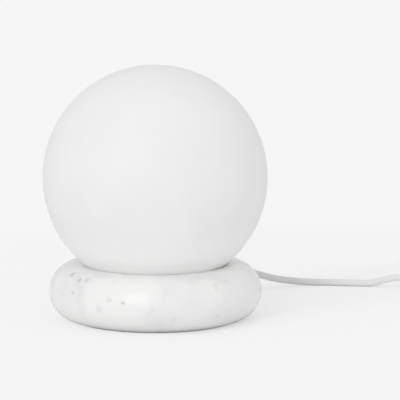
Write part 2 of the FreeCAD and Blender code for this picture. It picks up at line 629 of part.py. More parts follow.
def make_wires():
    """The two insulated cores, from the cord's cut sheath up through the nipple to the terminals."""
    radius = millimetres("wire_diameter / 2")
    height = millimetres(CORD_HEIGHT)
    start = millimetres(SHEATH_END)
    floor = millimetres(f"{HOLDER_BOTTOM} + cap_floor")
    end = millimetres(TERMINAL_BOTTOM)
    beside = millimetres("wire_spacing / 2")
    terminal = millimetres("terminal_offset")
    for label, side in (("wire_live", 1), ("wire_neutral", -1)):
        points = [
            Vector(start, side * beside, height),
            Vector(start - 5, side * beside, height),
            Vector(start - 8.5, side * beside, height - 5),
            Vector(start - 11, side * beside, height - 11),
            Vector(start - 14.5, side * beside, height - 13.5),
            Vector(-0.5, side * beside, height - 10),
            Vector(0, side * beside, height - 3),
            Vector(0, side * beside, floor + 1.2),
            Vector(0, side * terminal, end - 2.8),
            Vector(0, side * terminal, end)]
        wire = new_piece(label, "Part::Feature")
        wire.Shape = tube_along(points, radius, label)
        wire.Placement = FreeCAD.Placement(
            Vector(0, 0, 0), FreeCAD.Rotation(Vector(0, 0, 1), millimetres("cord_azimuth")))


# ---------------------------------------------------------------- light bulb


def make_bulb_base():
    """The tip contact and the insulator between it and the threaded cap."""
    contact = new_piece("bulb_contact")
    revolve(contact, "contact", [
        ("0", TIP_BOTTOM),
        ("tip_radius / 2", TIP_BOTTOM),
        ("tip_radius", f"{TIP_BOTTOM} + tip_height / 2"),
        ("tip_radius", TIP_TOP),
        ("0", TIP_TOP)])
    insulator = new_piece("bulb_insulator")
    edge = "(thread_root_radius - bulb_cap_wall - boot_gap)"
    revolve(insulator, "insulator", [
        ("0", TIP_TOP),
        ("tip_radius + board_thickness / 2", TIP_TOP),
        (edge, BULB_CAP_BOTTOM),
        (edge, f"{BULB_CAP_BOTTOM} + bulb_cap_wall"),
        ("0", f"{BULB_CAP_BOTTOM} + bulb_cap_wall")])


def make_bulb_body():
    """The moulded housing, the light-giving dome and what stands between them."""
    collar = "(thread_root_radius - bulb_cap_wall - boot_gap)"
    collar_inner = f"({collar} - collar_wall)"
    seat_height = f"({BOARD_TOP} - board_thickness)"
    housing = new_piece("bulb_housing")
    revolve(housing, "housing", [
        (collar_inner, f"{BULB_CAP_TOP} - collar_length"),
        (collar, f"{BULB_CAP_TOP} - collar_length"),
        (collar, BULB_CAP_TOP),
        ("housing_foot_radius", BULB_CAP_TOP),
        ("housing_foot_radius", f"{BULB_CAP_TOP} + housing_wall", "housing_sweep", -1),
        ("joint_radius", f"{seat_height} - board_ledge"),
        ("joint_radius", JOINT_HEIGHT),
        ("joint_radius - housing_wall", JOINT_HEIGHT),
        ("joint_radius - housing_wall", seat_height),
        ("joint_radius - housing_wall - board_ledge", seat_height, "housing_sweep + housing_wall", 1),
        ("housing_foot_radius - housing_wall", f"{BULB_CAP_TOP} + housing_wall"),
        (collar_inner, BULB_CAP_TOP)])
    dome = new_piece("bulb_dome")
    sink = "sqrt(dome_radius ^ 2 - joint_radius ^ 2)"
    centre = f"({JOINT_HEIGHT} + {sink})"
    inner = "(dome_radius - dome_wall)"
    revolve(dome, "dome", [
        ("joint_radius", JOINT_HEIGHT, "dome_radius", 1),
        ("0", f"{centre} + dome_radius"),
        ("0", f"{centre} + {inner}", inner, -1),
        (f"sqrt({inner} ^ 2 - dome_radius ^ 2 + joint_radius ^ 2)", JOINT_HEIGHT)])
    board = new_piece("led_board")
    pad(board, "board", "board_thickness", seat_height,
        circles=[("0", "0", "joint_radius - housing_wall - hole_gap")])
    chips = new_piece("led_chips")
    chip = pad(chips, "chip", "chip_height", BOARD_TOP, corners=rectangle(
        "chip_circle_radius - chip_size / 2", "chip_circle_radius + chip_size / 2",
        "-chip_size / 2", "chip_size / 2"))
    document.recompute()
    repeat(chips, chip, "chip_count")
    driver = new_piece("driver_board")
    foot = f"({BULB_CAP_TOP} - collar_length + seat_gap)"
    half_width = f"({collar_inner} - driver_gap)"
    pad(driver, "board", f"{seat_height} - {foot}", foot, corners=rectangle(
        f"-{half_width}", half_width, "-board_thickness / 2", "board_thickness / 2"))
    capacitor = new_piece("driver_capacitor")
    pad(capacitor, "can", "capacitor_length", f"{BULB_CAP_TOP} + collar_length",
        circles=[("0", "board_thickness / 2 + capacitor_radius", "capacitor_radius")])


def make_glass_globe():
    """The blown globe, open below in a short straight neck."""
    globe = new_piece("glass_globe")
    inner = "(globe_radius - glass_wall)"
    revolve(globe, "glass", [
        (NECK_INNER, NECK_END),
        (NECK_RADIUS, NECK_END),
        (NECK_RADIUS, NECK_TOP, "globe_radius", 1),
        ("0", f"{GLOBE_CENTRE} + globe_radius"),
        ("0", f"{GLOBE_CENTRE} + {inner}", inner, -1),
        (NECK_INNER, NECK_TOP_INSIDE)])


# ---------------------------------------------------------------- cord


def rounded_path(points):
    """Straight runs joined by tangent arcs as large as the runs allow, with the arcs' radii."""
    edges = []
    radii = []
    last = points[0]
    for before, corner, after in zip(points, points[1:], points[2:]):
        way_in = (corner - before).normalize()
        way_out = (after - corner).normalize()
        half_turn = way_in.getAngle(way_out) / 2
        reach = 0.45 * min((corner - before).Length, (after - corner).Length)
        radius = reach / math.tan(half_turn)
        inward = (way_out - way_in).normalize()
        start = corner - way_in * reach
        middle = corner + inward * (radius / math.cos(half_turn) - radius)
        end = corner + way_out * reach
        edges.append(Part.LineSegment(last, start).toShape())
        edges.append(Part.Arc(start, middle, end).toShape())
        radii.append(radius)
        last = end
    edges.append(Part.LineSegment(last, points[-1]).toShape())
    return edges, radii


def sweep(edges, start, way, radius):
    """A round solid along joined edges."""
    section = Part.Wire([Part.Circle(start, way, radius).toShape()])
    return Part.Wire(edges).makePipeShell([section], True, False)


def tube_along(points, radius, label):
    """A round tube along a route of corner points, with its radii and volume printed."""
    edges, radii = rounded_path(points)
    solid = sweep(edges, points[0], points[1] - points[0], radius)
    length = sum(edge.Length for edge in edges)
    print(f"{label}: length {length:.1f}, least radius {min(radii):.1f},",
          f"volume over section x length {solid.Volume / (math.pi * radius ** 2 * length):.4f}")
    return solid


def coil_point(turn):
    """A point of the coil's centreline, and the way it runs, after a number of turns."""
    turns = millimetres("coil_turns")
    pitch = millimetres("coil_pitch")
    outer = millimetres("coil_radius")
    low = millimetres(COIL_LOW)
    inward = turn if turn <= turns else 2 * turns - turn
    radius = outer - pitch * inward
    shrink = -pitch if turn < turns else pitch
    climb = min(1, max(0, (turn - turns + 0.25) / 0.5))
    height = low + pitch * (1 - math.cos(math.pi * climb)) / 2
    rise = pitch * math.pi * math.sin(math.pi * climb)
    if turn == turns:
        shrink = 0
    angle = -2 * math.pi * turn
    outward = Vector(math.cos(angle), math.sin(angle), 0)
    sideways = Vector(math.sin(angle), -math.cos(angle), 0)
    centre = Vector(millimetres("coil_x"), millimetres("coil_y"), 0)
    place_now = centre + outward * radius + Vector(0, 0, height)
    way = outward * shrink + sideways * (2 * math.pi * radius) + Vector(0, 0, rise)
    return place_now, way.normalize()


def biarc(start, way_in, end, way_out):
    """Two arcs that join smoothly between two points with given ways."""
    chord = end - start
    both = way_in + way_out
    square = 2 * (way_in.dot(way_out) - 1)
    middle = -2 * chord.dot(both)
    reach = (-middle - math.sqrt(middle ** 2 - 4 * square * chord.dot(chord))) / (2 * square)
    knee_in = start + way_in * reach
    knee_out = end - way_out * reach
    joint = (knee_in + knee_out) / 2
    arcs = []
    for first, knee, last in ((start, knee_in, joint), (joint, knee_out, end)):
        base = (first + last) / 2
        half = (last - first).Length / 2
        lean = math.acos(min(1, half / reach))
        top = base + (knee - base).normalize() * (half * math.tan(lean / 2))
        arcs.append(Part.Arc(first, top, last).toShape())
    return arcs


def coil_gap(diameter):
    """The least gap between the coil's turns, measured on points."""
    steps = 72
    total = int(2 * millimetres("coil_turns") * steps)
    points = [coil_point(index / steps)[0] for index in range(total + 1)]
    least = min((points[one] - points[two]).Length
                for one in range(total + 1) for two in range(one + steps // 2, total + 1))
    return least - diameter


def make_cord_coil():
    """The put-away length: two layers of loops, spiralling in below and out again above."""
    diameter = millimetres("cord_diameter")
    turns = 2 * millimetres("coil_turns")
    stations = [coil_point(quarter / 4) for quarter in range(int(4 * turns) + 1)]
    first, last = stations[0][0], stations[-1][0]
    lead_in = first + Vector(0, diameter, 0)
    lead_out = last - Vector(0, diameter, 0)
    edges = [Part.LineSegment(lead_in, first).toShape()]
    level = Vector(0, -1, 0)
    stations[0] = (first, level)
    stations[-1] = (last, level)
    for (start, way_in), (end, way_out) in zip(stations, stations[1:]):
        edges.extend(biarc(start, way_in, end, way_out))
    edges.append(Part.LineSegment(last, lead_out).toShape())
    coil = new_piece("cord_coil", "Part::Feature")
    coil.Shape = sweep(edges, lead_in, level, diameter / 2)
    length = sum(edge.Length for edge in edges)
    print(f"cord_coil: length {length:.1f}, least gap {coil_gap(diameter):.2f}, volume over"
          f" section x length {coil.Shape.Volume / (math.pi * diameter ** 2 / 4 * length):.4f}")
    return lead_in, lead_out


def make_free_cord(coil_start, coil_end):
    """The cord from the gland to the switch, on to the coil, and from the coil to the plug."""
    radius = millimetres(CORD_RADIUS)
    azimuth = math.radians(millimetres("cord_azimuth"))
    height = millimetres(CORD_HEIGHT)
    line = millimetres("cord_line_height")
    across = millimetres("switch_across")
    switch_near = millimetres("switch_start - collar_reach")
    switch_far = millimetres(f"{SWITCH_END} + collar_reach")

    def way_out(reach):
        distance = millimetres(BOOT_END) + reach
        return Vector(distance * math.cos(azimuth), distance * math.sin(azimuth), height)

    routes = {
        "cord_lead": [
            way_out(0), way_out(22),
            Vector(101.3, 143.4, 12.5), Vector(112.8, 153.7, 8.0), Vector(127.9, 160.4, 5.0),
            Vector(144.0, 163.8, radius), Vector(161.0, 163.6, radius), Vector(187.7, 159.1, radius),
            Vector(205.0, 157.3, radius), Vector(switch_near - 14, across, line),
            Vector(switch_near, across, line)],
        "cord_tail": [
            Vector(switch_far, across, line), Vector(switch_far + 15.5, across, line),
            Vector(358.9, 149.1, 6.0), Vector(371.0, 137.8, 3.9), Vector(377.9, 122.9, radius),
            Vector(378.8, 105.9, radius), Vector(coil_start.x, 89.5, coil_start.z), coil_start],
        "cord_end": [
            coil_end, coil_end - Vector(0, 14, 0), Vector(377.6, 36.0, 9.4),
            Vector(coil_end.x, 24.5, millimetres("plug_thickness / 2")),
            Vector(coil_end.x, millimetres("plug_start"), millimetres("plug_thickness / 2"))]}
    for label, points in routes.items():
        cord = new_piece(label, "Part::Feature")
        cord.Shape = tube_along(points, radius, label)


def make_cord_tie():
    """The strap round the coil's turns, on the side away from where the cord comes in."""
    body = new_piece("cord_tie")
    sketch = new_sketch(body, "strap_outline", "XZ_Plane")
    far = f"(coil_radius + {CORD_RADIUS} + tie_gap)"
    near = f"(coil_radius - coil_pitch * (coil_turns - 0.5) - {CORD_RADIUS} - 2 * tie_gap)"
    top = f"({COIL_LOW} + coil_pitch + {CORD_RADIUS} + tie_gap)"
    draw_outline(sketch, rectangle(f"-{far} - tie_thickness", f"-{near} + tie_thickness",
                                   "0", f"{top} + tie_thickness"))
    draw_outline(sketch, rectangle(f"-{far}", f"-{near}", "tie_thickness", top))
    strap = body.newObject("PartDesign::Pad", "strap")
    strap.Profile = sketch
    strap.setExpression("Length", bound("tie_width"))
    strap.SideType = "Symmetric"
    place(body, x="coil_x", y="coil_y")


# ---------------------------------------------------------------- switch and plug


def make_switch():
    """The rocker switch in the cord: two shells, rocker, contacts, screws and moulded collars."""
    inside = rounded_rectangle("(switch_length - 2 * switch_wall)", "(switch_width - 2 * switch_wall)",
                               "(switch_corner - switch_wall)")
    outside = rounded_rectangle("switch_length", "switch_width", "switch_corner")
    posts = [(f"{side} * case_screw_spacing / 2", "0", "case_post_radius") for side in (1, -1)]
    bores = [(x, y, "case_screw_radius + hole_gap") for x, y, _ in posts]
    centre = {"x": "switch_start + switch_length / 2", "y": "switch_across"}
    roof = "(switch_height - switch_wall)"

    base = new_piece("switch_base")
    pad(base, "shell", "cord_line_height", corners=outside)
    cut(base, "hollow", depth="cord_line_height", base="switch_wall", corners=inside)
    pad(base, "posts", "cord_line_height - switch_wall", "switch_wall", circles=posts)
    cut(base, "bores", circles=bores)
    cut(base, "recesses", depth="switch_wall", circles=[
        (x, y, "case_screw_head_radius + hole_gap") for x, y, _ in posts])
    place(base, **centre)

    cover = new_piece("switch_cover")
    pad(cover, "shell", "switch_height - cord_line_height", "cord_line_height", corners=outside)
    cut(cover, "hollow", depth=f"{roof} - cord_line_height", base="cord_line_height", corners=inside)
    pad(cover, "posts", f"{roof} - cord_line_height", "cord_line_height", circles=posts)
    cut(cover, "bores", depth=f"{roof} - cord_line_height - hole_gap", base="cord_line_height",
        circles=bores)
    half_length = "(rocker_length / 2 + rocker_gap)"
    half_width = "(rocker_width / 2 + seat_gap)"
    cut(cover, "window", depth="2 * switch_wall", base=roof, corners=rectangle(
        f"-{half_length}", half_length, f"-{half_width}", half_width))
    ear_bottom = f"({PIVOT_HEIGHT} - 2 * trunnion_radius)"
    for name, low, high in (("near_ear", f"-({half_width} + ear_width)", f"-{half_width}"),
                            ("far_ear", half_width, f"{half_width} + ear_width")):
        pad(cover, name, f"{roof} - {ear_bottom}", ear_bottom,
            corners=rectangle("-2 * trunnion_radius", "2 * trunnion_radius", low, high))
    cut(cover, "trunnion_seats", depth=f"2 * ({half_width} + ear_width)", plane="XZ_Plane",
        both_ways=True, circles=[("0", PIVOT_HEIGHT, "trunnion_radius + seat_gap")])
    place(cover, **centre)

    rocker = new_piece("switch_rocker")
    dip = "(rocker_rise - rocker_dip)"
    pad(rocker, "key", "rocker_width", plane="XZ_Plane", both_ways=True, corners=[
        ("-rocker_length / 2 + rocker_dip", "-rocker_depth"),
        ("rocker_length / 2 - rocker_dip", "-rocker_depth"),
        ("rocker_length / 2", "-rocker_dip"),
        ("rocker_length / 2", "rocker_rise"),
        ("0", dip),
        ("-rocker_length / 2", "rocker_rise"),
        ("-rocker_length / 2", "-rocker_dip")])
    pad(rocker, "trunnions", "rocker_width + 2 * trunnion_length", plane="XZ_Plane", both_ways=True,
        circles=[("0", "0", "trunnion_radius")])
    rocker.Placement = FreeCAD.Placement(Vector(0, 0, 0), FreeCAD.Rotation(Vector(0, 1, 0), 1))
    rocker.setExpression("Placement.Rotation.Angle", bound("rocker_tilt"))
    place(rocker, z=PIVOT_HEIGHT, **centre)

    contacts = new_piece("switch_contacts")
    strips = new_sketch(contacts, "strips_outline", "XY_Plane", "switch_wall")
    for side in (1, -1):
        middle = f"{side} * strip_spacing / 2"
        draw_outline(strips, rectangle(
            f"{middle} - strip_thickness / 2", f"{middle} + strip_thickness / 2",
            "-strip_width / 2", "strip_width / 2"))
    strip_pad = contacts.newObject("PartDesign::Pad", "strips")
    strip_pad.Profile = strips
    strip_pad.setExpression("Length", bound("strip_height"))
    place(contacts, **centre)

    screws = new_piece("switch_screws")
    pad(screws, "heads", "case_screw_head", "switch_wall - case_screw_head", circles=[
        (x, y, "case_screw_head_radius") for x, y, _ in posts])
    pad(screws, "shanks", f"{roof} - switch_wall - 2 * hole_gap - switch_wall", "switch_wall",
        circles=[(x, y, "case_screw_radius") for x, y, _ in posts])
    place(screws, **centre)

    collars = new_piece("switch_collars")
    face = "(switch_length / 2)"
    for name, side in (("near_collar", -1), ("far_collar", 1)):
        revolve(collars, name, [
            (f"{side} * {face}", "cord_line_height"),
            (f"{side} * ({face} + collar_reach)", "cord_line_height"),
            (f"{side} * ({face} + collar_reach)", "cord_line_height + collar_tip_radius"),
            (f"{side} * {face}", "cord_line_height + collar_root_radius")], along="cord_line_height")
    place(collars, **centre)


def make_plug():
    """The flat moulded plug and its two pins, drawn along +X and turned to lie along -Y."""
    body = new_piece("plug_body")
    stations = [("0", "plug_neck", "plug_neck", "plug_corner"),
                ("plug_length * 0.4", "plug_shoulder", "plug_neck + 2", "plug_corner"),
                ("plug_length * 0.65", "plug_width - 1", "plug_thickness", "plug_corner"),
                ("plug_length", "plug_width", "plug_thickness", "plug_corner")]
    sections = []
    for number, (station, width, thickness, corner) in enumerate(stations):
        sketch = new_sketch(body, f"section_{number}", "YZ_Plane", station)
        draw_outline(sketch, rounded_rectangle(f"({width})", f"({thickness})", corner))
        sections.append(sketch)
    document.recompute()
    loft = body.newObject("PartDesign::AdditiveLoft", "moulding")
    loft.Profile = sections[0]
    loft.Sections = sections[1:]
    loft.Ruled = True
    pins = new_piece("plug_pins")
    for name, radius, start, length in (
            ("shanks", "pin_radius", "plug_length", "pin_length - pin_tip"),
            ("tips", "pin_radius - pin_tip / 2", "plug_length + pin_length - pin_tip", "pin_tip")):
        pad(pins, name, length, start, plane="YZ_Plane", circles=[
            (f"{side} * pin_spacing / 2", "0", radius) for side in (1, -1)])
    for piece in (body, pins):
        place(piece, x="coil_x + coil_radius", y="plug_start", z="plug_thickness / 2", turn="-90")


# ---------------------------------------------------------------- build


def check_document():
    """Stop if a feature failed or a sub-part's shape isn't whole."""
    document.recompute()
    for item in document.Objects:
        if {"Invalid", "Error"} & set(item.State):
            raise RuntimeError(f"{item.Name} failed: {item.State}")
        if item.TypeId == "Sketcher::SketchObject" and item.solve() != 0:
            raise RuntimeError(f"{item.Name} is over-constrained")
    for piece in PIECES:
        shape = piece.Shape
        if shape.isNull() or not shape.isValid() or not shape.Solids:
            raise RuntimeError(f"{piece.Label} has no whole solid")


def write_pieces():
    """Write each sub-part to its own file."""
    os.makedirs("parts", exist_ok=True)
    for piece in PIECES:
        piece.Shape.exportStep(os.path.join("parts", f"{piece.Label}.step"))


make_marble_ring()
make_base_plate()
tube("base_pad", PAD_INNER, f"{PAD_INNER} + pad_width", "0", "pad_thickness")
make_gallery_plate()
make_clamp_hardware()
make_globe_seat()
make_cord_grip()
make_gland()
make_nipple()
make_holder_shells()
make_holder_inside()
make_thread_pair()
make_wires()
make_bulb_base()
make_bulb_body()
make_glass_globe()
make_free_cord(*make_cord_coil())
make_cord_tie()
make_switch()
make_plug()
check_document()
write_pieces()
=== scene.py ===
"""Looks of the glass globe table lamp: satin opal globe, polished marble ring, textile cord and fittings."""
import math

import bmesh
import bpy
from mathutils import Matrix, Vector


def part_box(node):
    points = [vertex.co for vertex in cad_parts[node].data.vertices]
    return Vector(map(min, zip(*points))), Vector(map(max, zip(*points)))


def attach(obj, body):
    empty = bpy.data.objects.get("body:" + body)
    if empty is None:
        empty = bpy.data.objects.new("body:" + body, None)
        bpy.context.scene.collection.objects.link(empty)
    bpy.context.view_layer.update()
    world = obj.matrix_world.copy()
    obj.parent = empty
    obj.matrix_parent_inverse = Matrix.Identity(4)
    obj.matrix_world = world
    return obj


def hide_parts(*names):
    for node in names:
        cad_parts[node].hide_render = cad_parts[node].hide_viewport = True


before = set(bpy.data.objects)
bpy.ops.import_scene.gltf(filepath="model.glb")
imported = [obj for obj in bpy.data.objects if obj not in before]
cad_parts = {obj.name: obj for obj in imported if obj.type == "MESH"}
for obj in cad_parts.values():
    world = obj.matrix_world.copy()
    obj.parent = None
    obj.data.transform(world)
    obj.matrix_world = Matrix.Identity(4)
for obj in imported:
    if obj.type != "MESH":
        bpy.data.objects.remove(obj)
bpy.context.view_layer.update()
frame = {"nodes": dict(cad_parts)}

MM = 0.001

# Studio: the paper behind the lamp, the light all round it, and the softbox with the point it looks at.
PAPER = (0.921, 0.921, 0.921, 1)
PAPER_MIRRORED = (0.70, 0.70, 0.70, 1)
FLOOR_COLOUR = (0.93, 0.93, 0.93, 1)
AMBIENT_FRONT = 0.98
AMBIENT_BACK = 0.76
KEY_SOFTBOX = {"azimuth": -22, "elevation": 27, "distance": 2.3, "width": 0.95, "height": 1.8, "power": 8.5}
LIGHT_AIM = (0, 0, 0.1)

# Floor: how far from the middle it turns into the backdrop, and how much of the backdrop's colour lies over
# it like a veil, on its lit side and in the lamp's shadow, which runs that way (x, y).
FLOOR_RADIUS = 9.0
FLOOR_MIDDLE = (0.1, 0.0, 0.0)
FADE = (0.22, 0.60)
LIT_VEIL = 0.80
SHADOW_VEIL = 0.48
SHADOW_WAY = (0.77, 0.64)
SHADOW_START = (-0.06, 0.04)
SHADOW_EDGE = (0.04, 0.11)

# Camera: where it stands and how far it looks down, from the ellipses of the ring in the photograph.
CAMERA_PLACE = (0.0398, -2.46187, 0.46770)
CAMERA_PITCH = math.radians(90 - 8.35)
CAMERA_LENS = 251.6
SENSOR = 36.0

# Cord: a round textile mains cord. Its route is the one that its solids follow.
CORD_DIAMETER = 6.5 * MM
CORD_AZIMUTH = math.radians(55)
CORD_WAY = (math.cos(CORD_AZIMUTH), math.sin(CORD_AZIMUTH), 0)
CORD_HEIGHT = 22 * MM
BOOT_END = 123.068 * MM
COIL_CENTRE = (330 * MM, 70 * MM)
COIL_RADIUS = 47 * MM
COIL_PITCH = 7 * MM
COIL_TURNS = 3
COIL_LOW = 4.4 * MM
POINTS_PER_TURN = 16

# Its cover: yarns each way round, their slope and depth, how finely its tubes are divided, and the stretch
# # over which its colour goes from a painted shade near the lamp to a painted light further out.
BRAID_CARRIERS = 12
BRAID_SLOPE = 0.72
BRAID_RELIEF = 0.07 * MM
FINE_TUBE = {"sides": 36, "step": 0.35 * MM}
COARSE_TUBE = {"sides": 28, "step": 0.55 * MM}
CORD_PAINTED_SHADE_SPAN = (118 * MM, 182 * MM)
CORD_PAINTED_SHADE_LEVELS = (0.86, 1.09)


def outward(radius):
    """A point on the cord's straight way out of the lamp, at that radius."""
    return (radius * CORD_WAY[0], radius * CORD_WAY[1], CORD_HEIGHT)


def in_metres(points):
    """Points given in mm, in metres."""
    return [tuple(number * MM for number in point) for point in points]


def coil_route():
    """Turns that spiral in and out again, with the second layer lying on the first."""
    points = []
    for step in range(2 * COIL_TURNS * POINTS_PER_TURN + 1):
        turn = step / POINTS_PER_TURN
        inward = turn if turn <= COIL_TURNS else 2 * COIL_TURNS - turn
        radius = COIL_RADIUS - COIL_PITCH * inward
        angle = -2 * math.pi * turn
        climb = min(max((turn - COIL_TURNS + 0.25) / 0.5, 0), 1)
        points.append((
            COIL_CENTRE[0] + radius * math.cos(angle),
            COIL_CENTRE[1] + radius * math.sin(angle),
            COIL_LOW + COIL_PITCH * (1 - math.cos(math.pi * climb)) / 2,
        ))
    return points


SHEATH_ROUTE = [outward(17 * MM), outward(50 * MM), outward(94.7 * MM)]

LEAD_ROUTE = [outward(BOOT_END), outward(BOOT_END + 22 * MM)] + in_metres([
    (101.3, 143.4, 12.5),
    (112.8, 153.7, 8.0),
    (127.9, 160.4, 5.0),
    (144.0, 163.8, 3.25),
    (161.0, 163.6, 3.25),
    (187.7, 159.1, 3.25),
    (205.0, 157.3, 3.25),
    (222.0, 155.0, 9.5),
    (236.0, 155.0, 9.5),
])

TAIL_ROUTE = in_metres([
    (328.0, 155.0, 9.5),
    (343.5, 155.0, 9.5),
    (358.9, 149.1, 6.0),
    (371.0, 137.8, 3.9),
    (377.9, 122.9, 3.25),
    (378.8, 105.9, 3.25),
    (377.0, 89.5, 4.4),
    (377.0, 76.5, 4.4),
]) + coil_route() + in_metres([
    (377.0, 63.5, 11.4),
    (377.0, 49.5, 11.4),
    (377.6, 36.0, 9.4),
    (377.0, 24.5, 6.9),
    (377.0, 14.0, 6.9),
])

# Marks in the marble, those in front as the photograph shows them: azimuth and angle round the tube in
# degrees, radius in mm and how dark.
MARBLE_MARKS = [
    (-149.9, 58.7, 5.2, 1.00),
    (-139.0, 48.6, 3.6, 0.75),
    (-133.4, 51.8, 4.4, 0.75),
    (-139.5, 20.5, 3.0, 0.75),
    (-148.2, 11.6, 3.2, 0.40),
    (-114.4, 16.5, 4.2, 0.50),
    (-106.4, 10.5, 3.0, 0.75),
    (-120.1, -5.3, 5.0, 0.35),
    (-79.0, -24.0, 3.4, 0.25),
    (-53.1, 39.7, 5.2, 0.28),
    (-44.0, 48.0, 4.0, 0.26),
    (-53.4, -23.3, 3.4, 0.34),
    (35.0, 30.0, 3.8, 0.80),
    (61.0, 5.0, 2.8, 0.60),
    (118.0, 42.0, 3.4, 0.70),
    (152.0, 16.0, 2.8, 0.60),
]

# Marble ring and globe: from the frame's boxes, where these tell it, and on the solids' own measures.
RING_TUBE_RADIUS = 25 * MM
RING_MEAN_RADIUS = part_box("marble_ring")[1].x - RING_TUBE_RADIUS
RING_CENTRE_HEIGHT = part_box("marble_ring")[1].z - RING_TUBE_RADIUS
PAD_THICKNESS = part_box("base_pad")[1].z
REBATE_RADIUS = 57 * MM
REBATE_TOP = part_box("base_plate")[1].z
BORE_RADIUS = 42 * MM
WELL_RADIUS = 47.5 * MM
LEDGE_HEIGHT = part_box("gallery_plate")[0].z
CORD_HOLE_RADIUS = 4 * MM
CORD_HOLE_START = 30 * MM
CORD_HOLE_DEPTH = 75 * MM
GLOBE_RADIUS = 99.95 * MM
GLOBE_CENTRE_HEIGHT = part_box("glass_globe")[1].z - GLOBE_RADIUS
GLASS_WALL = 4 * MM
NECK_RADIUS = 41 * MM
NECK_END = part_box("glass_globe")[0].z
SEAT_GAP = 0.04 * MM
STONE_EASE = 0.35 * MM

# Degrees of the globe's curve that the shoulder takes up, where the globe runs into its neck.
SHOULDER_TURN = 1.2

# Distances from the dish's outer lip between which the stone goes from a painted lighter tone, painted light
# on the shaded seam with the globe, to its own colour.
LIP_LIGHTENING_SPAN = (1 * MM, 10 * MM)

# Painted glow, in place of light that the opal glass passes on from inside: emission in a band of the glass
# # at the seam, where the ring shades it. The band fades out upwards, just under the seam and towards the
# shaded side.
SEAM_HEIGHT = 49.5 * MM
SEAM_REACH = 9 * MM
SEAM_HIDDEN = 3 * MM
SEAM_GLOW = 0.095
SHADED_SIDE = (44 * MM, 60 * MM)

# Heights between which the glass's colour is painted lighter towards the neck, a painted light on the globe's
# shaded lower part.
NECK_PAINTED_LIGHT = (52 * MM, 94 * MM)

# Fittings: the in-line switch, the plug, the coil's strap and the flutes of the lampholder's cap.
COLLAR_HEIGHT = 9.5 * MM
PIVOT_HEIGHT = 16 * MM
ROCKER_TILT = math.radians(6)
ROCKER_HALF = 10.5 * MM
ROCKER_RISE = 3.8 * MM
ROCKER_DIP = 2.6 * MM
ROCKER_SLOPE = (ROCKER_RISE - ROCKER_DIP) / ROCKER_HALF
ROCKER_RIB_START = 5.4 * MM
ROCKER_RIB_PITCH = 1.15 * MM
COLLAR = {"length": 20 * MM, "root": 6 * MM, "tip": 3.9 * MM, "ridges": 5}
PIN_SPACING = 18.6 * MM
STRAP_WIDTH = 10 * MM
STRAP_THICKNESS = 0.55 * MM
STRAP_BEND = 3.7 * MM
STRAP_LEFT, STRAP_RIGHT, STRAP_BOTTOM, STRAP_TOP = (282.6 * MM, 304.4 * MM, 0.3 * MM, 15.0 * MM)
FLUTES = 36
FLUTE_SUNK = 0.12 * MM
FLUTE_DROP = 4.7 * MM

# Length, width and height of each kind of rib.
ROCKER_RIB = (7.5 * MM, 0.7 * MM, 0.3 * MM)
PLUG_RIB = (8.6 * MM, 1.1 * MM, 0.7 * MM)
STITCH = (1.6 * MM, 0.42 * MM, 0.16 * MM)
FLUTE = (8.2 * MM, 1.5 * MM, 0.55 * MM)

# The plug's body in sections from the cord's end to the pins' face: distance, width, thickness and corner
# radius, in mm.
PLUG_SECTIONS = [
    (0, 7.6, 7.6, 3.7), (0.4, 8.6, 8.6, 4.2), (1.8, 8.7, 8.7, 4.2), (2.2, 7.8, 7.8, 3.8),
    (3.0, 7.9, 7.9, 3.8), (3.4, 9.0, 8.9, 4.2), (4.8, 9.2, 9.0, 4.2), (5.2, 8.2, 8.1, 3.9),
    (6.0, 8.4, 8.2, 3.9), (6.4, 9.6, 9.3, 4.3), (7.8, 10.0, 9.5, 4.3), (8.2, 8.9, 8.6, 4.1),
    (9.0, 9.1, 8.8, 4.1), (9.4, 10.5, 9.8, 4.4), (12.0, 11.6, 10.2, 4.5), (14.5, 13.6, 10.8, 4.7),
    (17.0, 18.2, 11.8, 4.9), (19.0, 24.0, 12.7, 4.9), (21.0, 29.4, 13.4, 4.7), (22.8, 32.6, 13.75, 4.4),
    (24.4, 33.4, 13.8, 4.1), (34.4, 33.8, 13.8, 3.6), (35.2, 33.5, 13.5, 3.4), (35.8, 32.6, 12.6, 3.0),
    (36.0, 31.4, 11.4, 2.4),
]
PLUG_LENGTH = PLUG_SECTIONS[-1][0] * MM
PLUG_RIB_PLACE = (16.75 * MM, 25.4 * MM)
PLUG_RIB_PITCH = 1.9 * MM

# Profiles of turned pieces, as (radius, distance along): a pin, its sleeve, and the boot's stem and flange.
PIN_PROFILE = in_metres([(0, 0), (1.7, 0), (1.7, 9.4), (1.98, 9.7), (1.98, 17.2), (1.85, 17.9), (1.5, 18.6),
                         (0.9, 18.95), (0, 19)])
SLEEVE_PROFILE = in_metres([(1.72, -0.2), (2.0, -0.2), (2.0, 9.2), (1.94, 9.35), (1.72, 9.35)])
BOOT_PROFILE = in_metres([(3.3, 0), (3.8, 0), (3.8, 9), (5.2, 9), (5.6, 9.4), (5.6, 10.4), (5.3, 10.8)])
BOOT_STEM = 9 * MM
BOOT_TAPER = {"length": 26.2 * MM, "root": 5 * MM, "tip": 3.9 * MM, "ridges": 6}

# The strap's tongue: place along it, drop and width, in mm; and its stitches' first place and spacing.
TONGUE = [
    (284.0, -0.5, 10.0), (285.5, -0.12, 10.0), (287.5, 0.0, 10.0), (297.6, 0.0, 10.0), (298.8, 0.0, 9.6),
    (299.6, 0.0, 8.8), (300.2, 0.0, 7.4), (300.5, 0.0, 5.6),
]
STITCH_PLACE = (288.6 * MM, -3.45 * MM)
STITCH_SPACING = (7.4 * MM, 2.3 * MM)


